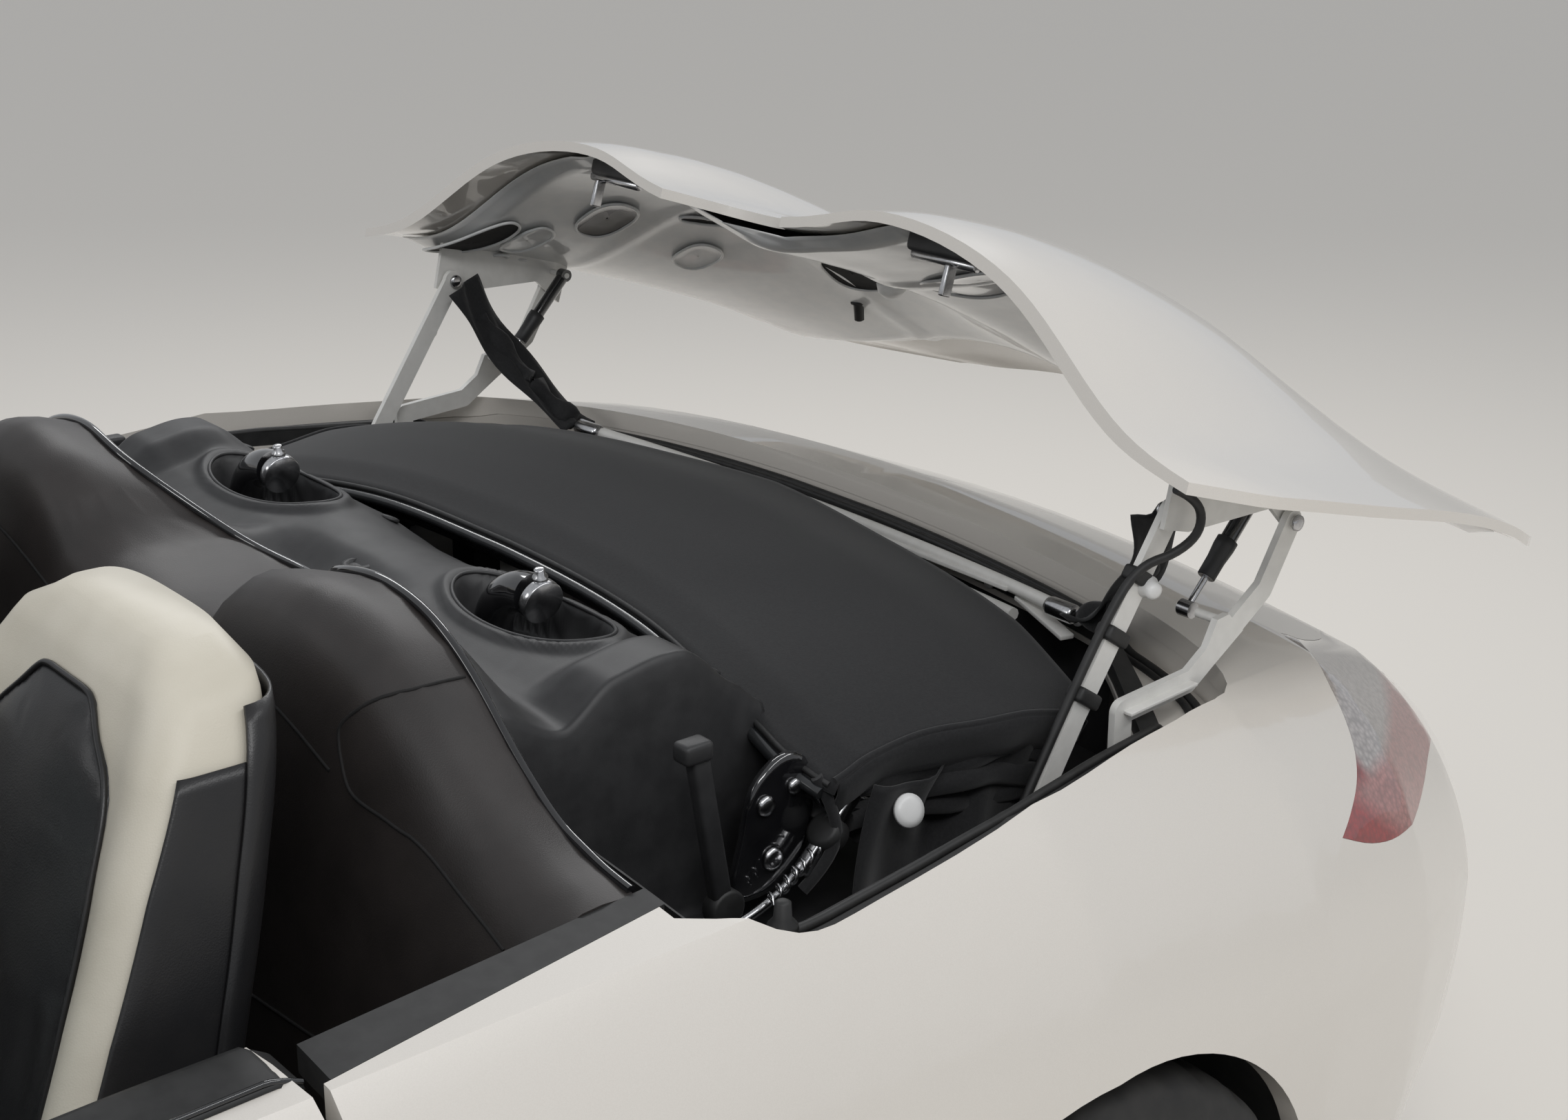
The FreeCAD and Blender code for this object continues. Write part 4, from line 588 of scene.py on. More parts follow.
def seat_back():
    rings = [[seat_point(a, z) for a in circle(56)] for z in spaced(0.395, 1.136, 60)]
    points = [p for ring in rings for p in ring]
    core = BVHTree.FromPolygons(points, grid_faces(len(rings), len(rings[0]), True))
    made = [ring_piece("seat_core_left", rings, "cream_leather")]

    def front_at(y, z, lift):
        spot, _ = cast(core, (0.4, SEAT_Y + y, z), (-1, 0, 0))
        x = spot.x if spot is not None else between(SEAT_BACK, z)[0]
        return Vector((x + lift, SEAT_Y + y, z))

    pad_half = [(0.42, 0.150), (0.60, 0.168), (0.80, 0.160), (0.95, 0.140), (1.03, 0.112), (1.085, 0.050)]
    rows = []
    for z in spaced(0.42, 1.085, 46):
        half = between(pad_half, z)[0]
        across = spaced(-half, half, 26)
        end = soft_step(0.42, 0.46, z) * (1 - soft_step(1.04, 1.085, z))
        crown = [0.004 + 0.012 * end * (1 - (y / half) ** 4) for y in across]
        front = [front_at(y, z, c) for y, c in zip(across, crown)]
        inside = [front_at(y, z, -0.014) for y in reversed(across)]
        rows.append(front + inside)
    pad = ring_piece("seat_pad_left", rows, "two_tone_leather")
    puff(pad, lambda p: p.x < front_at(p.y - SEAT_Y, min(max(p.z, 0.40), 1.13), 0.0).x + 0.003, 0.007)
    made.append(pad)
    seam = []
    for z in spaced(0.43, 1.085, 30):
        seam.append(front_at(between(pad_half, z)[0], z, 0.0035))
    top = [front_at(y, 1.088, 0.0035) for y in spaced(0.035, -0.035, 5)]
    seam = seam + top + [Vector((p.x, 2 * SEAT_Y - p.y, p.z)) for p in reversed(seam)]
    made.append(tube("seat_piping_left", seam, 0.0028, "two_tone_leather"))

    def around(name, first, last, grow, top_z, count):
        """Strip over part of each ring, standing off the core."""
        strip = [[seat_point(a, z, grow) for a in spaced(first, last, count)]
                 for z in spaced(0.400, top_z, 56)]
        made.append(grid_piece(name, strip, "two_tone_leather", thick=0.003))

    around("seat_rear_shell_left", -0.06, -math.pi + 0.06, 0.007, 1.098, 26)
    around("seat_side_panel_outer_left", 0.22, -0.10, 0.003, 1.060, 8)
    around("seat_side_panel_inner_left", math.pi - 0.22, math.pi + 0.10, 0.003, 1.060, 8)
    cross = []
    first, last = between(pad_half, PANEL_SEAM_Z)[0] + 0.006, between(SEAT_BACK, PANEL_SEAM_Z)[2] - 0.003
    for y in spaced(first, last, 12):
        cross.append(front_at(y, PANEL_SEAM_Z, 0.0006))
    made.append(tube("seat_seam_cross_left", cross, 0.0014, "thread"))
    return made


def side_rolls(stem, ring_at):
    """Two closed rolls beside the seat's middle: ring_at gives the ring at a share of the length."""
    return [
        ring_piece("seat_%s_%s_left" % (stem, name), [ring_at(t, side) for t in spaced(0.0, 1.0, 26)],
                   "two_tone_leather")
        for side, name in ((1, "outer"), (-1, "inner"))
    ]


BASE_TOP = [
    (-0.33, 0.40), (-0.20, 0.405), (-0.05, 0.418), (0.10, 0.438), (0.19, 0.442), (0.225, 0.415),
]
BASE_LOW = 0.300


def seat_base():
    """Seat cushion with its two side bolsters, and the black base under it."""
    rows = []
    for x in spaced(-0.31, 0.222, 34):
        top = between(BASE_TOP, x)[0]
        middle, half = (top + BASE_LOW) / 2, (top - BASE_LOW) / 2
        rows.append([(x, SEAT_Y + u, middle + v) for u, v in oval(0.158, half, 44, 0.35, 0.5)])
    cushion = ring_piece("seat_cushion_left", rows, "two_tone_leather")
    puff(cushion, lambda p: p.z < 0.36 or p.x < -0.30, 0.014)
    made = [cushion]

    def bolster_ring(t, side):
        swell = math.sin(math.pi * (0.08 + 0.84 * t)) ** 0.4
        return [(-0.30 + 0.52 * t, SEAT_Y + side * (0.204 + u), 0.395 + v)
                for u, v in oval(0.048 * swell, 0.078 * swell, 22, 0.8)]

    for bolster in side_rolls("bolster", bolster_ring):
        puff(bolster, lambda p: p.z < 0.36, 0.008)
        made.append(bolster)
    lower = []
    for z, grow in ((0.222, -0.03), (0.230, -0.006), (0.300, 0.0), (0.345, 0.004), (0.352, -0.004)):
        lower.append([(-0.055 + u, SEAT_Y + v, z)
                      for u, v in oval(0.272 + grow, 0.236 + grow, 40, 0.35)])
    made.append(ring_piece("seat_tray_left", lower, "black_trim"))
    for side, name in ((1, "outer"), (-1, "inner")):
        made.append(block("seat_runner_%s_left" % name, (-0.02, SEAT_Y + side * 0.185, 0.204),
                          (0.44, 0.028, 0.056), "chassis"))
    return made


def seat_sides():
    """Rounded inner bolsters of the backrest, and the belt's buckle."""
    def wing_ring(t, side):
        z = 0.40 + 0.29 * t
        front = between(SEAT_BACK, z)[0]
        swell = math.sin(math.pi * (0.10 + 0.84 * t)) ** 0.5
        return [(front + 0.020 + v, SEAT_Y + side * (0.168 + u), z)
                for u, v in oval(0.044 * swell, 0.052 * swell, 22, 0.85)]

    made = side_rolls("wing", wing_ring)
    made.append(bar("belt_stalk_left", (-0.24, SEAT_Y - 0.262, 0.32), (-0.20, SEAT_Y - 0.262, 0.46),
                    0.022, 0.010, "black_trim", up=(0, 1, 0)))
    made.append(block("belt_buckle_left", (-0.196, SEAT_Y - 0.262, 0.475), (0.042, 0.018, 0.055),
                      "black_trim"))
    return made


def build_seats():
    made = seat_back() + seat_base() + seat_sides()
    for piece in made:
        copy = mirror_of(piece, piece.name.replace("_left", "_right"))
        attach(copy, "body")
    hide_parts("seat_left")
    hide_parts("seat_right")


# Shelf behind the cabin with the roll hoops

HOOP_X = -0.968
HOOP_Y = 0.268
HOOP_R = 0.076
HOOP_Z = 0.930
SHELF_PROFILE = [
    (-1.078, 0.938), (-1.050, 0.962), (-1.010, 0.984), (-0.960, 0.993), (-0.905, 0.985),
    (-0.870, 0.976), (-0.820, 0.968), (-0.768, 0.964),
]


def shelf_height(x, y):
    z = between(SHELF_PROFILE, x)[0]
    side = abs(y)
    edge_x, edge_z = trim_rear(y)
    z += (edge_z - 0.016 - z) * soft_step(edge_x - 0.085, edge_x - 0.006, x)
    z += 0.024 * soft_step(0.40, 0.45, side) * soft_step(-1.04, -0.98, x) * (1 - soft_step(-0.90, -0.84, x))
    z -= 0.012 * (1 - soft_step(0.03, 0.16, side))
    reach = math.hypot((x - HOOP_X) / 0.056, (side - HOOP_Y) / 0.116)
    z += 0.007 * math.exp(-((reach - 1.12) / 0.09) ** 2)
    z -= 0.050 * (1 - soft_step(0.84, 1.0, reach))
    z -= 0.26 * soft_step(0.495, 0.530, side) ** 1.5
    return z


def build_shelf():
    rows = []
    across = spaced(-0.545, -0.480, 22) + spaced(-0.475, 0.475, 190) + spaced(0.480, 0.545, 22)
    for t in spaced(0.0, 1.0, 66):
        row = []
        for y in across:
            x = -1.078 + (trim_rear(y)[0] - 0.005 + 1.078) * t
            row.append(Vector((x, y, shelf_height(x, y))))
        rows.append(row)
    low = [Vector((p.x + 0.002, p.y, min(p.z, 0.75))) for p in rows[0]]
    lip = [Vector((p.x + 0.001, p.y, p.z - 0.016)) for p in rows[0]]
    shelf = grid_piece("hoop_shelf_skin", [low, lip] + rows, "black_trim")
    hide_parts("hoop_shelf")

    for side, name in SIDES:
        y = HOOP_Y * side
        a = math.radians(78)
        centre = Vector((HOOP_X, y + HOOP_R * math.cos(a), HOOP_Z + HOOP_R * math.sin(a)))
        along = Vector((0, -math.sin(a), math.cos(a)))
        turned("hoop_clamp_" + name,
               [(-0.006, 0.0222), (-0.005, 0.0232), (0.005, 0.0232), (0.006, 0.0222)], centre, along,
               "strut_metal")
        top = Vector((HOOP_X, y + HOOP_R * math.cos(a), HOOP_Z + HOOP_R + 0.020))
        turned("hoop_bolt_" + name,
               [(0.0, 0.008), (0.005, 0.008), (0.006, 0.0055), (0.013, 0.0055), (0.014, 0.004)], top,
               (0.2, 0.15, 1), "strut_metal", steps=18)
        rim = []
        for u, v in oval(0.0575, 0.119, 40):
            rim.append((HOOP_X + u, (HOOP_Y + v) * side, shelf_height(HOOP_X + u, HOOP_Y + v) + 0.001))
        tube("recess_rim_" + name, rim, 0.0022, "black_trim", closed=True)

    turned("shelf_cap", [(0.0, 0.020), (0.003, 0.0195), (0.004, 0.013), (0.001, 0.012), (0.0012, 0.002)],
           (-0.925, 0.0, shelf_height(-0.925, 0.0) - 0.001), (0, 0, 1), "black_trim")
    for y in (0.47, -0.47, 0.12, -0.12):
        turned("shelf_plug_%s%d" % ("l" if y > 0 else "r", round(abs(y) * 100)),
               [(0.0, 0.011), (0.003, 0.0105), (0.004, 0.007)], (-1.035, y, shelf_height(-1.035, abs(y))),
               (-0.5, 0, 1), "black_trim", steps=20)


# Folded top with its edge seal, rear bows and retaining bands

TOP_FRONT = [(0.0, -1.125), (0.25, -1.112), (0.524, -1.066), (0.60, -1.064), (0.622, -1.074)]
TOP_REAR = [(0.0, -1.516), (0.265, -1.481), (0.48, -1.452), (0.60, -1.415), (0.645, -1.385)]
TOP_CROWN = [(0.0, 0.958), (0.12, 0.970), (0.40, 0.978), (0.70, 0.973), (1.0, 0.950)]
TOP_WIDTH = [(0.0, 0.618), (0.30, 0.620), (0.55, 0.640), (1.0, 0.640)]


def top_point(u, v):
    """Place on the folded top: u front to rear, v right edge (-1) to left edge (1)."""
    y = v * between(TOP_WIDTH, u)[0]
    front = between(TOP_FRONT, min(abs(y), 0.622))[0]
    rear = between(TOP_REAR, min(abs(y), 0.645))[0]
    x = front + (rear - front) * u
    z = between(TOP_CROWN, u)[0] - 0.062 * abs(v) ** 3.2
    z += 0.0014 * solid_noise.noise(Vector((x * 7, y * 5, 0.3)))
    return Vector((x, y, z))


def build_folded_top():
    rows = []
    across = spaced(-1.0, 1.0, 110)
    for u in spaced(0.0, 1.0, 52):
        rows.append([top_point(u, v) for v in across])
    edge = 0.010
    front = [Vector((p.x + 0.006, p.y, p.z - edge)) for p in rows[0]]
    rear = [Vector((p.x - 0.006, p.y, p.z - edge)) for p in rows[-1]]
    low = [Vector((p.x - 0.002, p.y * 0.99, p.z - 2.6 * edge)) for p in rows[-1]]
    skin = grid_piece("top_skin", [front] + rows + [rear, low], "top_fabric", thick=0.0022)
    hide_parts("folded_top")
    for side, name in SIDES:
        line = [top_point(u, side * 0.992) for u in spaced(0.0, 1.0, 30)]
        tube("top_hem_" + name, [p + Vector((0, side * 0.001, 0.001)) for p in line], 0.0035,
             "top_fabric")
        hang = []
        for p in [top_point(u, side) for u in spaced(0.0, 1.0, 30)]:
            wave = 0.004 * math.sin(p.x * 70)
            steps = ((0.0, -0.001), (0.001, 0.012), (0.008 + wave, 0.030), (0.022, 0.046), (0.060, 0.050))
            hang.append([(p.x, p.y - side * inward, p.z - drop) for inward, drop in steps])
        grid_piece("top_under_" + name, hang, "top_fabric", thick=0.003)
        for number, (depth, inward, radius) in enumerate(((0.046, 0.030, 0.012), (0.068, 0.026, 0.013),
                                                          (0.092, 0.036, 0.012))):
            roll = []
            for u in spaced(0.06 + 0.05 * number, 0.96, 16):
                p = top_point(u, side)
                roll.append((p.x, p.y - side * (inward + 0.004 * math.sin(u * 19 + number)),
                             p.z - depth + 0.004 * math.sin(u * 11 + 2 * number)))
            tube("top_fold_%d_%s" % (number, name), roll, radius, "top_fabric")
    seal = [top_point(0.0, v) + Vector((0.010, 0, -0.012)) for v in spaced(-0.985, 0.985, 60)]
    tube("top_seal", seal, 0.0065, "seal_gloss")
    lip = [top_point(0.0, v) + Vector((0.004, 0, -0.003)) for v in spaced(-0.99, 0.99, 60)]
    tube("top_seal_lip", lip, 0.0032, "seal_rubber")
    under = []
    for v in spaced(-0.97, 0.97, 60):
        p = top_point(0.0, v)
        under.append([p + Vector((0.002, 0, -0.012)), p + Vector((-0.004, 0, -0.034)),
                      p + Vector((-0.040, 0, -0.052)), p + Vector((-0.12, 0, -0.060))])
    grid_piece("top_front_bow", under, "gloss_black", thick=0.003)


BOW_END = (-1.560, 0.452, 0.905)


def build_bows():
    """Painted bows behind the folded top, with their end fittings."""
    for number, (shift, drop, reach) in enumerate(((0.0, 0.0, 1.0), (0.024, 0.020, 0.86))):
        line = []
        for y in spaced(-BOW_END[1] * reach, BOW_END[1] * reach, 26):
            bend = 1 - (abs(y) / BOW_END[1]) ** 2
            line.append((BOW_END[0] - 0.034 * bend + shift, y, BOW_END[2] - drop - 0.004 * bend))
        tube("rear_bow_%d" % number, line, 0.008, "hinge_paint")
    for side, name in SIDES:
        bar("bow_strap_" + name, (-1.590, side * 0.10, 0.896), (-1.572, side * 0.36, 0.902), 0.020, 0.006,
            "hinge_paint")
        bar("bow_link_" + name, (-1.576, side * 0.37, 0.893), (-1.548, side * 0.47, 0.880), 0.018, 0.006,
            "hinge_paint")
        turned("bow_ferrule_" + name, [(0.0, 0.0105), (0.004, 0.0115), (0.040, 0.0115), (0.044, 0.0095)],
               (BOW_END[0] + 0.002, side * (BOW_END[1] - 0.020), BOW_END[2]), (0.12, side, 0.05),
               "strut_metal", steps=26)


BAND_PATH = [
    (-1.556, 0.478, 0.905), (-1.548, 0.520, 0.925), (-1.530, 0.565, 0.962), (-1.508, 0.605, 1.010),
    (-1.490, 0.632, 1.055), (-1.474, 0.642, 1.092),
]


def build_bands():
    """Fabric bands from the rear bow up to the front arms' heads."""
    for side, name, wide in ((1, "left", 0.052), (-1, "right", 0.062)):
        line = spline_line(flipped(BAND_PATH, side), 5)
        rows = []
        for i, p in enumerate(line):
            along = (line[min(i + 1, len(line) - 1)] - line[max(i - 1, 0)]).normalized()
            across = along.cross(Vector((0.25, side * 0.9, -0.35))).normalized()
            rows.append([p + across * wide * t + along.cross(across) * 0.005 * math.sin(9 * t + i * 0.5)
                         for t in spaced(-0.5, 0.5, 9)])
        band = grid_piece("top_band_" + name, rows, "top_fabric", None, thick=0.0025)
        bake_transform(band)
        sleeve = []
        for i, p in enumerate(line[2:20]):
            along = (line[i + 3] - line[i + 1]).normalized()
            one_side = along.orthogonal().normalized()
            other = along.cross(one_side)
            swell = 0.014 + 0.004 * math.sin(i * 1.1) - 0.004 * (i / 18.0)
            sleeve.append([p + (one_side * math.cos(a) + other * math.sin(a))
                           * (swell + 0.002 * math.sin(3 * a + i * 0.7))
                           for a in circle(20)])
        cover = ring_piece("band_sleeve_" + name, sleeve, "top_fabric", None)
        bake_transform(cover)


# Pit between the shelf and the folded top: props, latches and loose lining

PIT_ROD = [(-1.098, 0.588, 0.850), (-1.050, 0.590, 0.800), (-1.000, 0.592, 0.775), (-0.950, 0.595, 0.770)]
PIT_STRAP = [(-1.060, 0.600, 0.900), (-1.078, 0.612, 0.860), (-1.070, 0.616, 0.820), (-1.040, 0.606, 0.790)]
RIVETS = [(-1.010, 0.880, 0.010), (-1.045, 0.890, 0.008), (-1.020, 0.822, 0.012)]


def build_pit():
    for side, name in SIDES:
        def at(x, y, z):
            return (x, y * side, z)

        bar("pit_prop_" + name, at(-0.948, 0.598, 0.80), at(-0.918, 0.598, 0.962), 0.020, 0.016,
            "black_trim", up=(0, 1, 0))
        block("pit_prop_head_" + name, at(-0.914, 0.598, 0.968), (0.032, 0.024, 0.020), "black_trim")
        turned("pit_prop_pivot_" + name,
               [(-0.010, 0.016), (-0.008, 0.019), (0.008, 0.019), (0.010, 0.016)],
               at(-0.950, 0.598, 0.800), (0, 1, 0), "seal_rubber", steps=26)
        outline = [(-0.975, 0.790), (-0.985, 0.850), (-0.998, 0.898), (-1.030, 0.922), (-1.060, 0.915),
                   (-1.072, 0.870), (-1.060, 0.820), (-1.040, 0.790)]
        dense = spline_line([(x, 0.0, z) for x, z in outline], 4, closed=True)
        centre = Vector((-1.025, 0.0, 0.852))
        rings = []
        for y, scale in ((0.574, 0.90), (0.575, 1.0), (0.583, 1.0), (0.584, 0.90)):
            rings.append([(centre.x + (p.x - centre.x) * scale, side * y,
                           centre.z + (p.z - centre.z) * scale) for p in dense])
        ring_piece("pit_latch_plate_" + name, rings, "gloss_black")
        for number, (x, z, r) in enumerate(RIVETS):
            turned("pit_rivet_%d_%s" % (number, name), [(0.0, r), (0.004, r), (0.006, r * 0.6)],
                   at(x, 0.584, z), (0, side, 0), "strut_metal", steps=22)
        bar("pit_lever_" + name, at(-1.108, 0.602, 0.872), at(-1.040, 0.602, 0.806), 0.016, 0.014,
            "strut_metal", up=(0, 1, 0))
        tube("pit_rod_" + name, flipped(PIT_ROD, side), 0.005, "strut_metal")
        spring = []
        for k in range(46):
            y, z = 0.604 + 0.007 * math.cos(k * 1.05), 0.790 + 0.0010 * k + 0.007 * math.sin(k * 1.05)
            spring.append(at(-1.000 - 0.0016 * k, y, z))
        tube("pit_spring_" + name, spring, 0.0017, "strut_metal")
        turned("pit_collar_" + name, [(-0.012, 0.014), (-0.010, 0.018), (0.010, 0.018), (0.012, 0.014)],
               at(-1.074, 0.602, 0.838), (0.72, 0, 0.69), "seal_rubber", steps=24)
        turned("pit_button_" + name, [(0.0, 0.017), (0.004, 0.0165), (0.006, 0.010), (0.0065, 0.003)],
               at(-1.150, 0.632, 0.850), (0.15, side, 0.45), "clip_white", steps=26)
        cloth = []
        for t in spaced(0.0, 1.0, 22):
            row = []
            for w in spaced(0.0, 1.0, 26):
                fold = 0.014 * math.sin(w * 9.0 + t * 2.2) + 0.006 * math.sin(w * 21.0 + 1.0)
                x = -1.115 - 0.25 * w + 0.03 * t
                z = 0.885 - 0.150 * t - 0.012 * math.sin(w * 5)
                row.append((x + 0.4 * fold, side * (0.618 + fold - 0.050 * t * (1 - t)), z))
            cloth.append(row)
        lining = grid_piece("pit_lining_" + name, cloth, "top_fabric", thick=0.0022)
        tube("pit_strap_" + name, flipped(PIT_STRAP, side), 0.006, "top_fabric")


# Rim of the top's compartment: weather strip, clips and buffers

RIM_LINE = [
    (-0.790, 0.785), (-0.850, 0.818), (-0.940, 0.818), (-1.140, 0.800), (-1.322, 0.758), (-1.440, 0.732),
    (-1.540, 0.700), (-1.606, 0.580), (-1.632, 0.370), (-1.640, 0.060),
]


def rim_path(inward, tree):
    """Line inside the compartment's rim, from the left front round to the right front."""
    half = spline_line([(x, y, 0.0) for x, y in RIM_LINE], 6)
    whole = half + [Vector((p.x, -p.y, 0.0)) for p in reversed(half)]
    centre = Vector((-1.2, 0.0, 0.0))
    made = []
    for i, p in enumerate(whole):
        along = (whole[min(i + 1, len(whole) - 1)] - whole[max(i - 1, 0)]).normalized()
        normal = Vector((along.y, -along.x, 0))
        if normal.dot(centre - p) < 0:
            normal = -normal
        q = p + normal * inward
        spot, _ = cast(tree, (q.x, q.y, 1.4), (0, 0, -1))
        made.append(Vector((q.x, q.y, spot.z if spot is not None else 0.9)))
    return made


def build_rim():
    tree = tree_of("rim_seal", "rim_channel", "rear_body", "top_compartment")
    for number, (inward, lift, radius) in enumerate(((0.021, 0.0035, 0.0055), (0.033, 0.002, 0.0045))):
        line = [p for p in rim_path(inward, tree) if p.x < -0.81]
        steady = []
        for i, p in enumerate(line):
            heights = sorted(q.z for q in line[max(0, i - 3):i + 4])
            steady.append(Vector((p.x, p.y, heights[len(heights) // 2] + lift)))
        tube("rim_bead_%d" % number, steady, radius, "seal_rubber")
    for side, name in SIDES:
        turned("rim_buffer_" + name,
               [(0.0, 0.014), (0.004, 0.013), (0.010, 0.008), (0.024, 0.007), (0.026, 0.004)],
               (-0.858, side * 0.788, 0.892), (0, 0, 1), "seal_rubber", steps=24)
        for number, y in enumerate((0.14, 0.30, 0.45)):
            spot, _ = cast(tree, (-1.40, side * y, 0.885), (-1, 0, 0))
            if spot is not None:
                turned("rim_clip_%d_%s" % (number, name), [(0.0, 0.007), (0.003, 0.0068), (0.005, 0.004)],
                       spot, (1, 0, 0.2), "clip_white", steps=18)


# Cover: lining with openings, latches and buffers. Sections: x, edge y, as on the shut cover.

COVER_EDGE = [
    (-1.625, 0.360), (-1.600, 0.572), (-1.535, 0.695), (-1.440, 0.725), (-1.322, 0.751), (-1.140, 0.793),
    (-0.940, 0.811), (-0.850, 0.807), (-0.776, 0.752),
]
COVER_BODY = "cover"


def lining_point(tree, x, y, drop):
    """Place under the raised cover's skin, by its place on the shut cover."""
    up = (-math.sin(COVER_TURN), 0, math.cos(COVER_TURN))
    spot, normal = cast(tree, raised(x, y, 0.60), up)
    return None if spot is None else spot + normal * drop


# Openings in the lining: the slot, ports and bay in groove black and the well in screen black are flat
# patches standing for the shade inside holes (painted shade); the oval and ring are patches in lining paint,
# the pad is gloss black
OPENINGS = [
    ("slot", -0.872, -0.640, 0.030, 0.070, 0.35, "groove"),
    ("oval", -0.945, -0.610, 0.026, 0.038, 0.2, "lining_paint"),
    ("port_a", -0.955, -0.680, 0.011, 0.013, 0.0, "groove"),
    ("port_b", -0.995, -0.690, 0.013, 0.013, 0.0, "groove"),
    ("pad", -1.010, -0.520, 0.036, 0.046, 0.0, "gloss_black"),
    ("ring", -1.190, -0.520, 0.030, 0.038, 0.0, "lining_paint"),
    ("port_c", -1.120, -0.430, 0.012, 0.040, 0.9, "groove"),
    ("well", -1.085, -0.130, 0.045, 0.080, 0.3, "screen_dark"),
    ("bay", -1.330, -0.330, 0.050, 0.045, 0.2, "groove"),
]
LATCHES = [(-0.872, 0.300, (0.060, 0.105, 0.026)), (-0.905, 0.330, (0.040, 0.045, 0.034))]


def build_cover():
    tree = tree_of("tonneau_cover")
    rows = []
    for x in spaced(-0.835, -1.560, 74):
        edge = between(COVER_EDGE, x)[0]
        reach = edge - 0.050
        row = []
        for f in spaced(-1.0, 1.0, 92):
            y = f * reach
            border = (1 - abs(f)) * reach
            ends = min((-0.835 - x) / 0.03, (x + 1.560) / 0.03, border / 0.03)
            rib = 0.004 * math.exp(-((abs(y) - 0.36) / 0.012) ** 2)
            rib += 0.004 * math.exp(-((x + 1.08) / 0.012) ** 2)
            swell = 0.003 + 0.013 * soft_step(0.0, 1.0, ends)
            valley = 0.012 * math.exp(-(y / 0.07) ** 2)
            spot = lining_point(tree, x, y, swell + rib + valley)
            row.append(spot if spot is not None else (row[-1] if row else raised(x, y, 0.95)))
        rows.append(row)
    grid_piece("cover_lining", rows, "lining_paint", COVER_BODY, thick=0.0012)

    def patch(name, x, y, half_x, half_y, turn, material):
        face = []
        c, s = math.cos(turn), math.sin(turn)
        for scale, drop in ((1.0, 0.0185), (0.90, 0.0172), (0.5, 0.0168), (0.04, 0.0168)):
            ring = []
            for u, v in oval(half_x * scale, half_y * scale, 36, 0.8):
                spot = lining_point(tree, x + u * c - v * s, y + u * s + v * c, drop + 0.003)
                if spot is None:
                    return
                ring.append(spot)
            face.append(ring)
        grid_piece("cover_" + name, face, material, COVER_BODY, slot="hinge_paint", closed=True)
        tube("cover_%s_lip" % name, face[0], 0.0022, "lining_paint", COVER_BODY, closed=True)

    for side, word in ((1, "right"), (-1, "left")):
        for name, x, y, half_x, half_y, turn, material in OPENINGS:
            patch(name + "_" + word, x, y * side, half_x, half_y, turn * side, material)

    def hung(name, profile, x, y, drop, material, steps):
        """A turned piece that hangs from the lining."""
        spot = lining_point(tree, x, y, drop)
        if spot is not None:
            turned(name, profile, spot, (-0.1, 0, -1), material, COVER_BODY, steps=steps)

    c, s = math.cos(COVER_TURN), math.sin(COVER_TURN)
    turn = Matrix(((c, 0, -s), (0, 1, 0), (s, 0, c))).to_4x4()
    for side, word in SIDES:
        hung("cover_peg_" + word,
             [(0.0, 0.020), (0.006, 0.022), (0.018, 0.020), (0.026, 0.012), (0.027, 0.003)],
             -1.345, side * 0.262, 0.018, "clip_white", 24)
        hung("cover_buffer_" + word,
             [(0.0, 0.013), (0.004, 0.012), (0.006, 0.008), (0.030, 0.0075), (0.032, 0.004)],
             -1.420, side * 0.400, 0.010, "seal_rubber", 22)
        for number, (x, y, size) in enumerate(LATCHES):
            spot = lining_point(tree, x, side * y, 0.020)
            if spot is not None:
                block("cover_latch_%d_%s" % (number, word), spot, size, "black_trim", COVER_BODY, turn=turn)
        spot = lining_point(tree, -0.852, side * 0.305, 0.034)
        if spot is not None:
            turned("cover_latch_pin_" + word,
                   [(-0.05, 0.005), (-0.049, 0.006), (0.049, 0.006), (0.05, 0.005)], spot, (0, 1, 0),
                   "strut_metal", COVER_BODY, steps=18)
            bar("cover_latch_hook_" + word, spot + Vector((0.010, side * 0.02, 0)),
                spot + Vector((0.020, side * 0.02, -0.034)), 0.014, 0.008, "strut_metal", COVER_BODY,
                up=(0, 1, 0))


# Linkage details: release cable with its tapes, knobs, bolts and strut boots

BOLT_HEAD = [(0.0, 0.009), (0.003, 0.0085), (0.004, 0.004)]


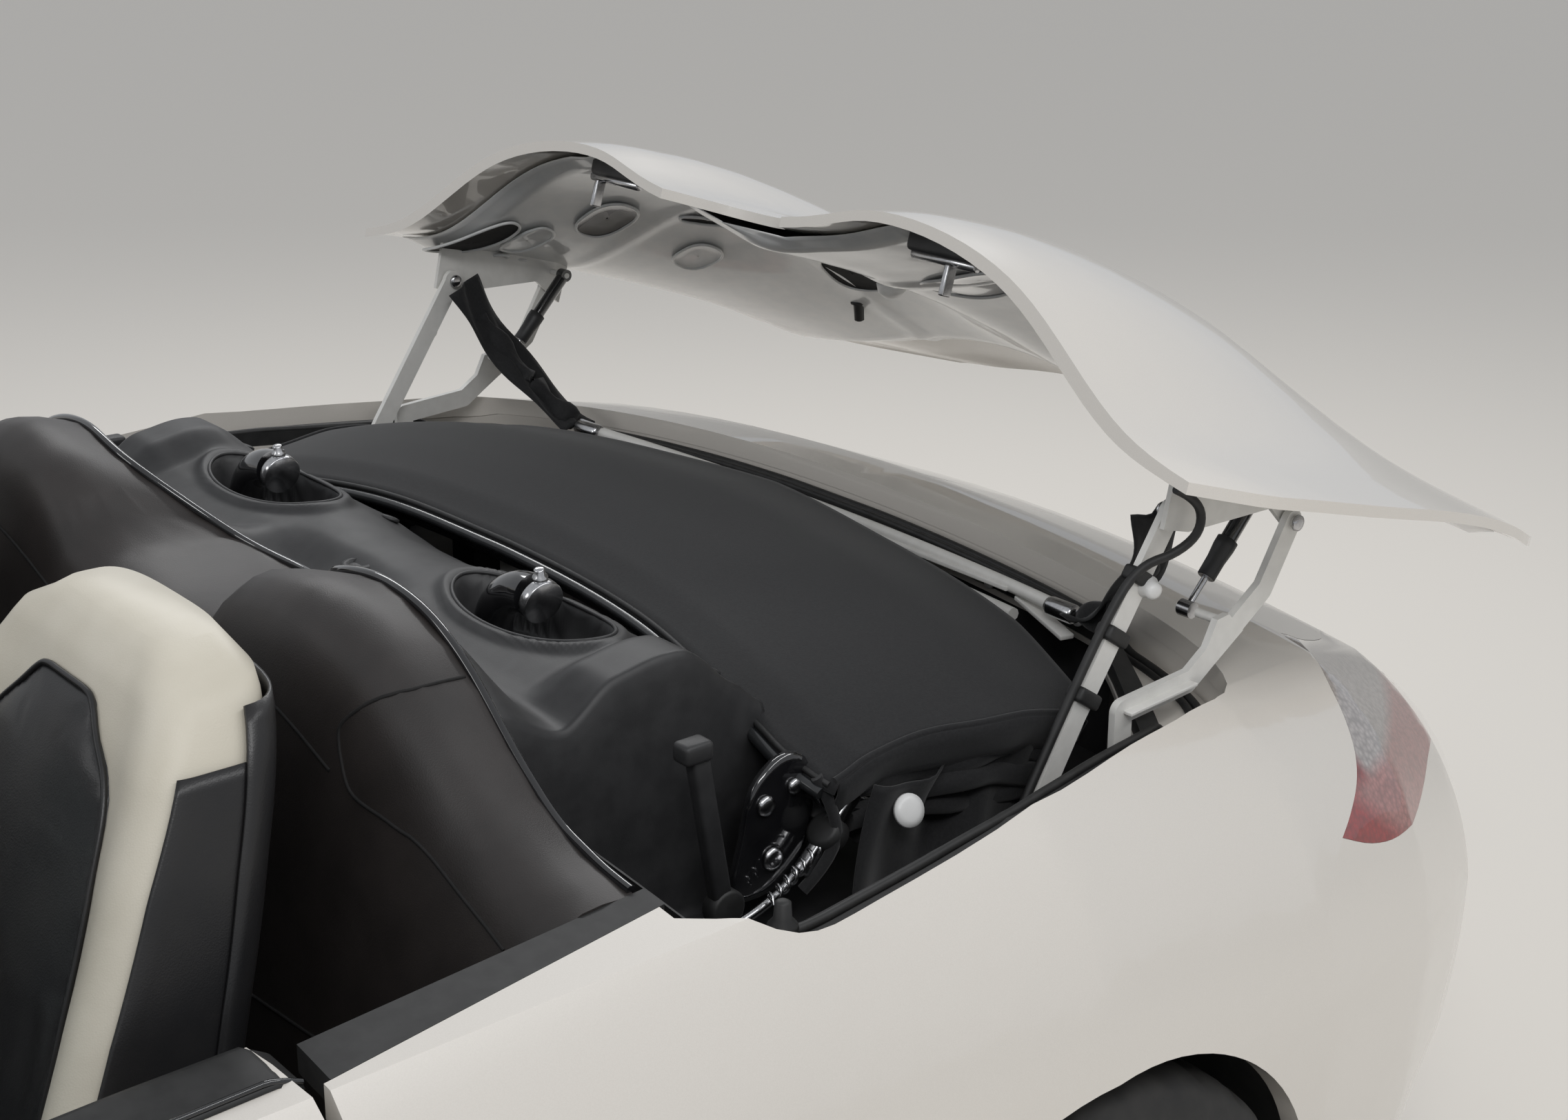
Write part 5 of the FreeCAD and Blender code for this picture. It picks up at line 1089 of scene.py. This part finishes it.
def build_linkage():
    path = [
        (-1.265, 0.664, 0.8094), (-1.3288, 0.664, 0.9172), (-1.398, 0.664, 1.0219), (-1.424, 0.6725, 1.052),
        (-1.450, 0.690, 1.062), (-1.474, 0.699, 1.080), (-1.478, 0.698, 1.104), (-1.462, 0.693, 1.122),
        (-1.444, 0.690, 1.131),
    ]
    cable = tube("release_cable", path, 0.0048, "seal_rubber", "front_arms")
    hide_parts("arm_cable")
    start, end = Vector((-1.345, 0.664, 0.905)), Vector((-1.470, 0.664, 1.095))
    along = (end - start).normalized()
    across = Vector((0, 1, 0))
    turn = Matrix((along, across, along.cross(across))).transposed().to_4x4()
    for number, t in enumerate((0.10, 0.40, 0.68)):
        block("cable_tape_%d" % number, start + (end - start) * t, (0.016, 0.022, 0.036),
              "seal_rubber", "front_arms", turn=turn)
    for side, name in SIDES:
        turned("arm_knob_" + name,
               [(0.0, 0.011), (0.004, 0.012), (0.010, 0.009), (0.016, 0.009), (0.019, 0.005)],
               (-1.436, side * 0.668, 1.026), (0.3, side, -0.1), "clip_white", "front_arms", steps=24)
        for number, (x, z) in enumerate(((-1.470, 1.095), (-1.2572, 0.755))):
            turned("arm_bolt_%d_%s" % (number, name), BOLT_HEAD, (x, side * 0.6555, z), (0, -side, 0),
                   "strut_metal", "front_arms", steps=20)
        turned("rear_arm_bolt_0_" + name, BOLT_HEAD, (-1.645, side * 0.692, 1.055), (0, side, 0),
               "strut_metal", "rear_arms", steps=20)
        bar("rear_arm_web_" + name, (-1.494, side * 0.6925, 0.913), (-1.392, side * 0.6925, 0.906), 0.004,
            0.012, "hinge_paint", "rear_arms", up=(0, side, 0.01))
        head = Vector((-1.6469, side * 0.640, 1.0836))
        foot = Vector((-1.540, side * 0.640, 0.968))
        along = (foot - head).normalized()
        turned("strut_boot_" + name,
               [(0.070, 0.0094), (0.071, 0.0118), (0.080, 0.0118), (0.096, 0.0102), (0.117, 0.0100),
                (0.118, 0.0092)],
               head, along, "black_trim", "strut_cylinders", steps=30)


# Tail lamps, seen through one lens: zones by place on the car

def zone_material(name, base, zones):
    """Lens colours laid over each other by place: (weight of x, weight of z, low, high, colour), with each
    facet painted darker towards its edges as painted shade.
    """
    material, tree, shader = new_material(name)
    coords = shader_node(tree, "TexCoord", {}).outputs["Object"]
    axes = shader_node(tree, "SeparateXYZ", {0: coords}).outputs
    last = (*base, 1.0)
    for along, above, low, high, colour in zones:
        part = shader_node(tree, "Math", {0: axes["X"], 1: along}, operation="MULTIPLY").outputs[0]
        total = shader_node(tree, "Math", {0: axes["Z"], 1: above, 2: part}, operation="MULTIPLY_ADD")
        inputs = {"Value": total.outputs[0], "From Min": low, "From Max": high}
        share = shader_node(tree, "MapRange", inputs).outputs["Result"]
        last = shader_node(tree, "Mix", {0: share, 6: last, 7: (*colour, 1.0)}, data_type="RGBA").outputs[2]
    # Painted shade: each lens facet's colour is multiplied darker towards its edges
    facets = cells(tree, 150.0)
    shade = shader_node(tree, "MapRange", {"Value": facets.outputs["Distance"], "From Max": 0.8,
                                           "To Min": 1.0, "To Max": 0.55})
    lens_colour_with_painted_shade = shader_node(tree, "Mix", {0: 1.0, 6: last, 7: shade.outputs["Result"]},
                         data_type="RGBA", blend_type="MULTIPLY")
    linked(tree, shader, {
        "Base Color": lens_colour_with_painted_shade.outputs[2], "Roughness": 0.16, "Coat Weight": 1.0, "Coat Roughness": 0.02,
        "Metallic": 0.35, "Normal": bump(tree, facets, 0.12, 0.0008),
    })
    return material


def build_tail_lamps():
    MATERIALS["tail_lens"] = zone_material("tail_lens", (0.30, 0.012, 0.014), [
        (-1.0, 0.55, 2.115, 2.135, (0.52, 0.48, 0.46)),
        (0.0, -1.0, -0.790, -0.775, (0.50, 0.22, 0.20)),
        (1.0, -1.2, -2.600, -2.560, (0.40, 0.02, 0.02)),
    ])
    node = NODES["tail_lamps"]
    node.data.materials.clear()
    node.data.materials.append(MATERIALS["tail_lens"])


# Wheels and tyres

WHEELS = [
    ("front_left", "wheel_fl", 1.210, 0.746, 0.3235, 0.235, 1),
    ("front_right", "wheel_fr", 1.210, -0.746, 0.3235, 0.235, -1),
    ("rear_left", "wheel_rl", -1.140, 0.765, 0.333, 0.295, 1),
    ("rear_right", "wheel_rr", -1.140, -0.765, 0.333, 0.295, -1),
]
RIM_R = 0.241


def tyre_profile(width, radius):
    """Half section of a tyre with its sidewall, shoulder and grooves: (across, radius, tread)."""
    half = width / 2
    side = [
        (-half + 0.008, RIM_R + 0.009), (-half + 0.0115, RIM_R + 0.011), (-half + 0.003, RIM_R + 0.022),
        (-half, RIM_R + 0.038), (-half + 0.0005, RIM_R + 0.0395), (-half, RIM_R + 0.042),
        (-half + 0.003, radius - 0.030), (-half + 0.012, radius - 0.013), (-half + 0.024, radius - 0.0045),
    ]
    tread = []
    count = 4
    span = width - 2 * 0.046
    groove = 0.0048
    tread.append((-half + 0.040, radius - 0.0015))
    for k in range(count):
        middle = -span / 2 + span * (k + 0.5) / count
        crown = radius - 0.0006 * (abs(middle) / half) ** 2
        for way, lip, drop in ((-1, 0.001, 0.0), (-1, 0.0, 0.0065), (1, 0.0, 0.0065), (1, 0.001, 0.0)):
            tread.append((middle + way * (groove + lip), crown - drop))
    tread.append((half - 0.040, radius - 0.0015))
    return side + tread + [(-a, r) for a, r in reversed(side)]


def build_tyre(name, body, x, y, radius, width, side):
    steps = 150

    def hoop(across, grow, turns):
        """Ring about the wheel's axle."""
        return [Vector((x + grow * math.cos(a), y + side * across, radius + grow * math.sin(a)))
                for a in turns]

    rings = []
    for a, r in tyre_profile(width, radius):
        ring = []
        for k, turn in enumerate(circle(steps)):
            grow = r
            if r > radius - 0.012 and abs(a) > width / 2 - 0.046:
                grow -= 0.004 if k % 5 == 0 else 0.0
            elif r > radius - 0.003 and k % 10 == (0 if a > 0 else 5):
                grow -= 0.0035
            ring += hoop(a, grow, [turn])
        rings.append(ring)
    inner = [hoop(a, RIM_R + 0.004, circle(steps)) for a in (width / 2 - 0.008, -width / 2 + 0.008)]
    tyre = grid_piece("tyre_skin_" + name, rings + inner + [rings[0]], "tyre", body, closed=True)
    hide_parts("tyre_" + name)
    for number, (r, wide, inset) in enumerate(((0.276, 0.0007, 0.0015), (0.300, 0.0006, 0.0035))):
        bead = hoop(width / 2 - inset, r, circle(48))
        tube("tyre_bead_%d_%s" % (number, name), bead, wide, "tyre", body, closed=True)


def build_wheels():
    for name, body, x, y, radius, width, side in WHEELS:
        build_tyre(name, body, x, y, radius, width, side)
        face = width / 2 - 0.006 - 0.028
        for k in range(5):
            a = math.radians(72 * k + 54)
            bolt = (x + 0.052 * math.cos(a), y + side * (face - 0.003), radius + 0.052 * math.sin(a))
            turned("wheel_bolt_%d_%s" % (k, name),
                   [(0.0, 0.0095), (0.010, 0.009), (0.012, 0.0065), (0.010, 0.004)], bolt, (0, side, 0),
                   "strut_metal", body, steps=16)
        turned("wheel_cap_" + name,
               [(0.0, 0.033), (0.003, 0.032), (0.006, 0.028), (0.007, 0.010), (0.0072, 0.001)],
               (x, y + side * face, radius), (0, side, 0), "gloss_black", body, steps=36)
        turned("wheel_valve_" + name, [(0.0, 0.004), (0.018, 0.0038), (0.020, 0.003)],
               (x + 0.212, y + side * (face + 0.002), radius), (-0.35, side, 0), "seal_rubber", body,
               steps=14)
        turned("brake_cap_" + name, [(0.0, 0.030), (0.002, 0.031), (0.003, 0.026)],
               (x, y - side * 0.02, radius), (0, side, 0), "strut_metal", body, steps=24)


# Doors: top strips, inner cards, handles and mirror glass

DOOR_PULL = [
    (0.10, 0.690, 0.745), (0.12, 0.668, 0.750), (0.24, 0.664, 0.765), (0.30, 0.668, 0.775),
    (0.32, 0.690, 0.780),
]


def build_doors():
    for side, name in SIDES:
        body = "door_" + name
        tree = tree_of(body)

        def top(x, y):
            spot, _ = cast(tree, (x, side * y, 1.3), (0, 0, -1))
            return spot if spot is not None else Vector((x, side * y, 0.892))

        rows = []
        for x in spaced(-0.438, 0.590, 50):
            inner = top(x, 0.700)
            row = [Vector((x, side * 0.6925, inner.z - 0.030)), Vector((x, side * 0.6915, inner.z - 0.008)),
                   Vector((x, side * 0.694, inner.z + 0.002))]
            row += [top(x, y) + Vector((0, 0, 0.0035)) for y in spaced(0.700, 0.748, 5)]
            row.append(top(x, 0.752) + Vector((0, side * 0.001, 0.0005)))
            rows.append(row)
        grid_piece("door_top_strip_" + name, rows, "seal_rubber", body, slot="black_trim", thick=0.0012)
        tube("door_top_bead_" + name, [r[7] + Vector((0, 0, 0.001)) for r in rows], 0.0028, "gloss_black",
             body)
        card = []
        for z in spaced(0.345, 0.868, 26):
            row = []
            for x in spaced(-0.425, 0.575, 44):
                rest = 0.026 * soft_step(0.60, 0.64, z) * (1 - soft_step(0.67, 0.71, z))
                rest *= soft_step(-0.40, -0.33, x) * (1 - soft_step(0.30, 0.42, x))
                pocket = 0.012 * soft_step(0.38, 0.41, z) * (1 - soft_step(0.47, 0.50, z))
                pocket *= soft_step(-0.30, -0.24, x) * (1 - soft_step(0.36, 0.44, x))
                row.append((x, side * (0.6915 - rest - pocket - 0.003), z))
            card.append(row)
        grid_piece("door_card_" + name, card, "dark_leather", body, thick=0.003)
        # Seam along the door card: a near-black tube, painted shade in its groove
        tube("door_card_seam_" + name, [(x, side * 0.6865, 0.735) for x in spaced(-0.42, 0.57, 12)],
             0.0015, "groove", body)
        tube("door_pull_" + name, flipped(DOOR_PULL, side), 0.008, "strut_metal", body)
        bar("door_opener_" + name, (0.36, side * 0.686, 0.800), (0.43, side * 0.684, 0.806), 0.020, 0.008,
            "strut_metal", body, up=(0, 1, 0.01))
        turned("door_speaker_" + name,
               [(0.0, 0.070), (0.004, 0.070), (0.006, 0.062), (0.003, 0.058), (0.005, 0.002)],
               (0.46, side * 0.688, 0.44), (0, -side, 0), "black_trim", body, steps=40)
        spot, normal = cast(tree, (-0.315, side * 1.3, 0.765), (0, -side, 0))
        if spot is not None:
            bar("door_handle_" + name, spot + normal * 0.018 + Vector((0.085, 0, 0.003)),
                spot + normal * 0.018 - Vector((0.085, 0, 0)), 0.030, 0.014, "body_paint", body,
                up=(0, 1, 0.2))
            for end in (0.072, -0.072):
                bar("door_handle_foot_%s_%s" % ("f" if end > 0 else "r", name),
                    spot + Vector((end, 0, 0)),
                    spot + normal * 0.018 + Vector((end, 0, 0)), 0.020, 0.018, "body_paint", body)
        glass = []
        for scale in (1.0, 0.7, 0.35, 0.02):
            glass.append([(0.4985 + 0.002 * (1 - scale), side * (0.885 + u), 0.968 + v)
                          for u, v in oval(0.084 * scale, 0.049 * scale, 40, 0.7)])
        grid_piece("mirror_glass_" + name, glass, "mirror_glass", body, closed=True)


# Cabin: binnacle, screen, vents, lever, pedals and mirror

# Columns: x, half width, half height, z
BINNACLE = [
    (0.355, 0.150, 0.055, 0.812), (0.365, 0.165, 0.066, 0.815), (0.430, 0.168, 0.062, 0.826),
    (0.500, 0.150, 0.040, 0.835), (0.545, 0.110, 0.016, 0.842),
]
WIPERS = [((0.30, 0.90), (-0.16, 0.985)), ((-0.26, 0.90), (-0.56, 0.975))]


def dial(name, place_at, radius):
    turned(name,
           [(0.0, radius), (0.004, radius), (0.006, radius * 0.92), (0.002, radius * 0.86), (0.0025, 0.001)],
           place_at, (-1, 0, 0.38), "screen_dark", steps=36)


def build_cabin():
    rings = [[(x, SEAT_Y + u, z + v) for u, v in oval(wide, high, 40, 0.75)]
             for x, wide, high, z in BINNACLE]
    ring_piece("binnacle", rings, "dark_leather")
    for number, (y, radius) in enumerate(((0.372, 0.048), (0.472, 0.040), (0.272, 0.040))):
        dial("dial_%d" % number, (0.352, y, 0.815), radius)
    block("centre_screen", (0.372, 0.0, 0.735), (0.022, 0.190, 0.100), "screen_dark",
          turn=Matrix.Rotation(math.radians(-14), 4, "Y"), bevel=0.3)
    for number, y in enumerate((0.600, 0.130, -0.130, -0.600)):
        turned("vent_ring_%d" % number,
               [(0.0, 0.038), (0.012, 0.040), (0.016, 0.034), (0.004, 0.031), (0.005, 0.001)],
               (0.385, y, 0.800), (-1, 0, 0.55), "black_trim", steps=36)
        for k in (-1, 0, 1):
            bar("vent_slat_%d_%d" % (number, k + 1), (0.375, y - 0.028, 0.812 + 0.016 * k),
                (0.375, y + 0.028, 0.812 + 0.016 * k), 0.010, 0.003, "gloss_black")
    for row_z in (0.655, 0.630):
        for k in range(5):
            block("console_key_%d_%d" % (round(row_z * 1000), k),
                  (0.372 + (0.655 - row_z), -0.064 + 0.032 * k, row_z), (0.010, 0.026, 0.014),
                  "gloss_black", bevel=0.3)
    boot = []
    for t in spaced(0.0, 1.0, 12):
        wide = 0.055 * (1 - t) ** 1.4 + 0.012 + 0.004 * math.sin(t * 18)
        boot.append([(0.075 + 0.02 * t + u, v, 0.440 + 0.075 * t) for u, v in oval(wide, wide, 28)])
    ring_piece("lever_boot", boot, "dark_leather")
    turned("lever_knob",
           [(0.0, 0.012), (0.010, 0.020), (0.040, 0.026), (0.062, 0.022), (0.072, 0.010), (0.074, 0.001)],
           (0.095, 0.0, 0.505), (0.12, 0, 1), "two_tone_leather", slot="dark_leather", steps=30)
    bar("park_lever", (-0.16, 0.0, 0.495), (0.00, 0.0, 0.505), 0.030, 0.026, "two_tone_leather",
        slot="dark_leather")
    rest = [[(x, u, 0.478 + v) for u, v in oval(0.088, 0.024, 30, 0.5, 0.6)]
            for x in spaced(-0.410, -0.205, 14)]
    armrest = ring_piece("armrest", rest, "dark_leather")
    for number, (y, wide) in enumerate(((0.300, 0.045), (0.395, 0.060), (0.490, 0.060))):
        bar("pedal_arm_%d" % number, (0.680, y, 0.44), (0.640, y, 0.285), 0.014, 0.008, "chassis")
        block("pedal_pad_%d" % number, (0.632, y, 0.265), (0.014, wide, 0.085), "strut_metal",
              turn=Matrix.Rotation(math.radians(24), 4, "Y"), bevel=0.3)
    glass = tree_of("windscreen_glass")
    rail, _ = cast(glass, (-0.4, 0.0, 1.19), (1, 0, 0))
    if rail is not None:
        bar("cabin_mirror_stalk", rail + Vector((-0.002, 0, 0.0)), rail + Vector((-0.045, 0, -0.030)),
            0.014, 0.014, "black_trim")
        block("cabin_mirror", rail + Vector((-0.055, 0, -0.045)), (0.020, 0.215, 0.062), "black_trim",
              bevel=0.4)
        block("cabin_mirror_face", rail + Vector((-0.0655, 0, -0.045)), (0.003, 0.195, 0.048),
              "mirror_glass", bevel=0.3)
    for side in (1, -1):
        visor = []
        for y in spaced(0.10, 0.46, 12):
            spot, _ = cast(glass, (-0.5, side * y, 1.225), (1, 0, 0))
            if spot is not None:
                visor.append([spot + Vector((-0.018, 0, 0.010)), spot + Vector((-0.016, 0, -0.030)),
                              spot + Vector((-0.010, 0, -0.075))])
        if visor:
            grid_piece("sun_visor_" + ("left" if side == 1 else "right"), visor, "dark_leather",
                       thick=0.012)
    for number, (start, end) in enumerate(WIPERS):
        line = []
        for t in spaced(0.0, 1.0, 9):
            y = start[0] + (end[0] - start[0]) * t
            z = start[1] + 0.03 + (end[1] - start[1]) * t
            spot, _ = cast(glass, (1.6, y, z), (-1, 0, 0))
            if spot is not None:
                line.append(spot + Vector((0.006, 0, 0.004)))
        if len(line) > 2:
            tube("wiper_blade_%d" % number, line, 0.004, "seal_rubber", slot="black_trim")
            reach = [line[0] + Vector((0.05, 0.01, -0.03)), line[0] + Vector((0.02, 0, 0.002)),
                     line[len(line) // 2] + Vector((0.004, 0, 0.005))]
            tube("wiper_arm_%d" % number, reach, 0.006, "black_trim")
    axis = Vector((175, 0, -67)).normalized()
    hub = Vector((0.190, 0.372, 0.7328))
    turned("wheel_hub_pad",
           [(0.0, 0.058), (0.012, 0.060), (0.022, 0.050), (0.026, 0.030), (0.027, 0.001)],
           hub + axis * -0.006, -axis, "dark_leather", "steering_wheel", steps=40)
    for turn, word in ((0, "a"), (180, "b"), (-90, "c")):
        a = math.radians(turn)
        down = axis.cross(Vector((0, 1, 0)))
        if down.z > 0:
            down = -down
        way = Vector((0, 1, 0)) * math.cos(a) - down * math.sin(a)
        if turn == -90:
            way = down
        bar("wheel_spoke_" + word, hub + way * 0.045, hub + way * 0.160, 0.034, 0.016, "strut_metal",
            "steering_wheel", up=tuple(axis))


# Front and rear ends, side intakes and plates

def patch_on(name, tree, centre, way, half_w, half_h, material, lift=0.002, turn=0.55, rise=0.0):
    """Rounded patch laid on a surface: seen along way, with its width rising by a share."""
    across = Vector((abs(way[1]), abs(way[0]), rise))
    rings = []
    for scale in (1.0, 0.97, 0.6, 0.25, 0.02):
        ring = []
        for a in circle(56):
            p = (Vector(centre) + across * half_w * scale * power(math.cos(a), turn)
                 + Vector((0, 0, 1)) * half_h * scale * power(math.sin(a), turn))
            spot, normal = cast(tree, p - Vector(way) * 1.2, way)
            if spot is None:
                return
            ring.append(spot + normal * (lift if scale < 1.0 else -0.001))
        rings.append(ring)
    grid_piece(name, rings, material, closed=True)


def slat_on(name, tree, starts, way, radius):
    """A tube along the places where rays meet a surface."""
    line = []
    for start in starts:
        spot, normal = cast(tree, start, way)
        if spot is not None:
            line.append(spot + normal * 0.006)
    if len(line) > 3:
        tube(name, line, radius, "gloss_black")


# Columns: name, y, z, half width, half height
INTAKES = [
    ("centre", 0.0, 0.330, 0.300, 0.062), ("left", 0.520, 0.360, 0.105, 0.085),
    ("right", -0.520, 0.360, 0.105, 0.085),
]


def build_ends():
    front, rear, panel = tree_of("front_bumper"), tree_of("rear_bumper"), tree_of("rear_body")
    fender, lamp = tree_of("front_fenders"), tree_of("headlamps")
    points = [NODES["headlamps"].matrix_world @ v.co for v in NODES["headlamps"].data.vertices]
    for name, y, z, half_w, half_h in INTAKES:
        patch_on("intake_" + name, front, (2.0, y, z), (-1, 0, 0), half_w, half_h, "black_trim")
        for k in range(5):
            h = z + half_h * (-0.7 + 0.35 * k)
            starts = [(3.2, y + half_w * t, h) for t in spaced(-0.92, 0.92, 12)]
            slat_on("intake_slat_%s_%d" % (name, k), front, starts, (-1, 0, 0), 0.0035)
    patch_on("plate_front", front, (2.0, 0.0, 0.445), (-1, 0, 0), 0.255, 0.055, "plate", 0.006, 0.15)
    patch_on("plate_rear", rear, (-2.0, 0.0, 0.500), (1, 0, 0), 0.255, 0.055, "plate", 0.006, 0.15)
    patch_on("rear_grille", rear, (-2.0, 0.0, 0.345), (1, 0, 0), 0.330, 0.050, "black_trim")
    for side, name in SIDES:
        patch_on("rear_reflector_" + name, rear, (-1.9, side * 0.560, 0.430), (1, 0, 0), 0.060, 0.012,
                 "lamp_red", 0.003, 0.4)
        patch_on("side_intake_" + name, panel, (-0.600, side * 0.9, 0.620), (0, -side, 0), 0.060, 0.105,
                 "black_trim", turn=0.7, rise=0.12)
        for k in range(4):
            starts = [(-0.600 + 0.050 * t, side * 2.0, 0.560 + 0.040 * k) for t in spaced(-0.85, 0.85, 8)]
            slat_on("side_slat_%s_%d" % (name, k), panel, starts, (0, -side, 0), 0.004)
        own = [p for p in points if p.y * side > 0]
        centre = sum(own, Vector()) / len(own)
        for number, (dx, dy, r) in enumerate(((0.02, 0.0, 0.048), (-0.06, 0.05, 0.036))):
            spot, normal = cast(lamp, (centre.x + dx, centre.y + side * dy, 1.6), (0, 0, -1))
            if spot is None:
                continue
            turned("headlamp_ring_%d_%s" % (number, name),
                   [(0.0, r), (0.004, r * 1.05), (0.007, r * 0.94), (0.003, r * 0.86), (0.004, 0.001)],
                   spot + normal * -0.002, normal, "strut_metal", steps=40)
            turned("headlamp_lens_%d_%s" % (number, name),
                   [(0.0, r * 0.84), (0.008, r * 0.70), (0.013, r * 0.42), (0.015, 0.001)],
                   spot + normal * 0.002, normal, "screen_dark", steps=36)
        patch_on("side_marker_" + name, fender, (0.800, side * 0.9, 0.700), (0, -side, 0), 0.040, 0.010,
                 "lamp_clear", 0.003, 0.5)
    # Shut line round the filler flap: a near-black tube, painted shade in the gap
    flap = []
    for u, v in oval(0.085, 0.050, 44):
        spot, normal = cast(fender, (1.010 + u, -1.6, 0.745 + v), (0, 1, 0))
        if spot is not None:
            flap.append(spot + normal * 0.0002)
    if len(flap) == 44:
        tube("filler_flap_line", flap, 0.0014, "groove", slot="black_trim", closed=True)
    for side, name in SIDES:
        turned("exhaust_inner_" + name,
               [(0.0, 0.0455), (0.060, 0.0455), (0.061, 0.038), (0.004, 0.036), (0.003, 0.001)],
               (-2.105, side * 0.470, 0.262), (-1, 0, 0), "exhaust_inside", steps=40)


make_camera()
make_stage()
dress_frame()
trim_details()
build_seats()
build_shelf()
build_folded_top()
build_bows()
build_bands()
build_pit()
build_rim()
build_cover()
build_linkage()
build_tail_lamps()
build_wheels()
build_doors()
build_cabin()
build_ends()

bpy.context.scene.view_settings.view_transform = "Standard"
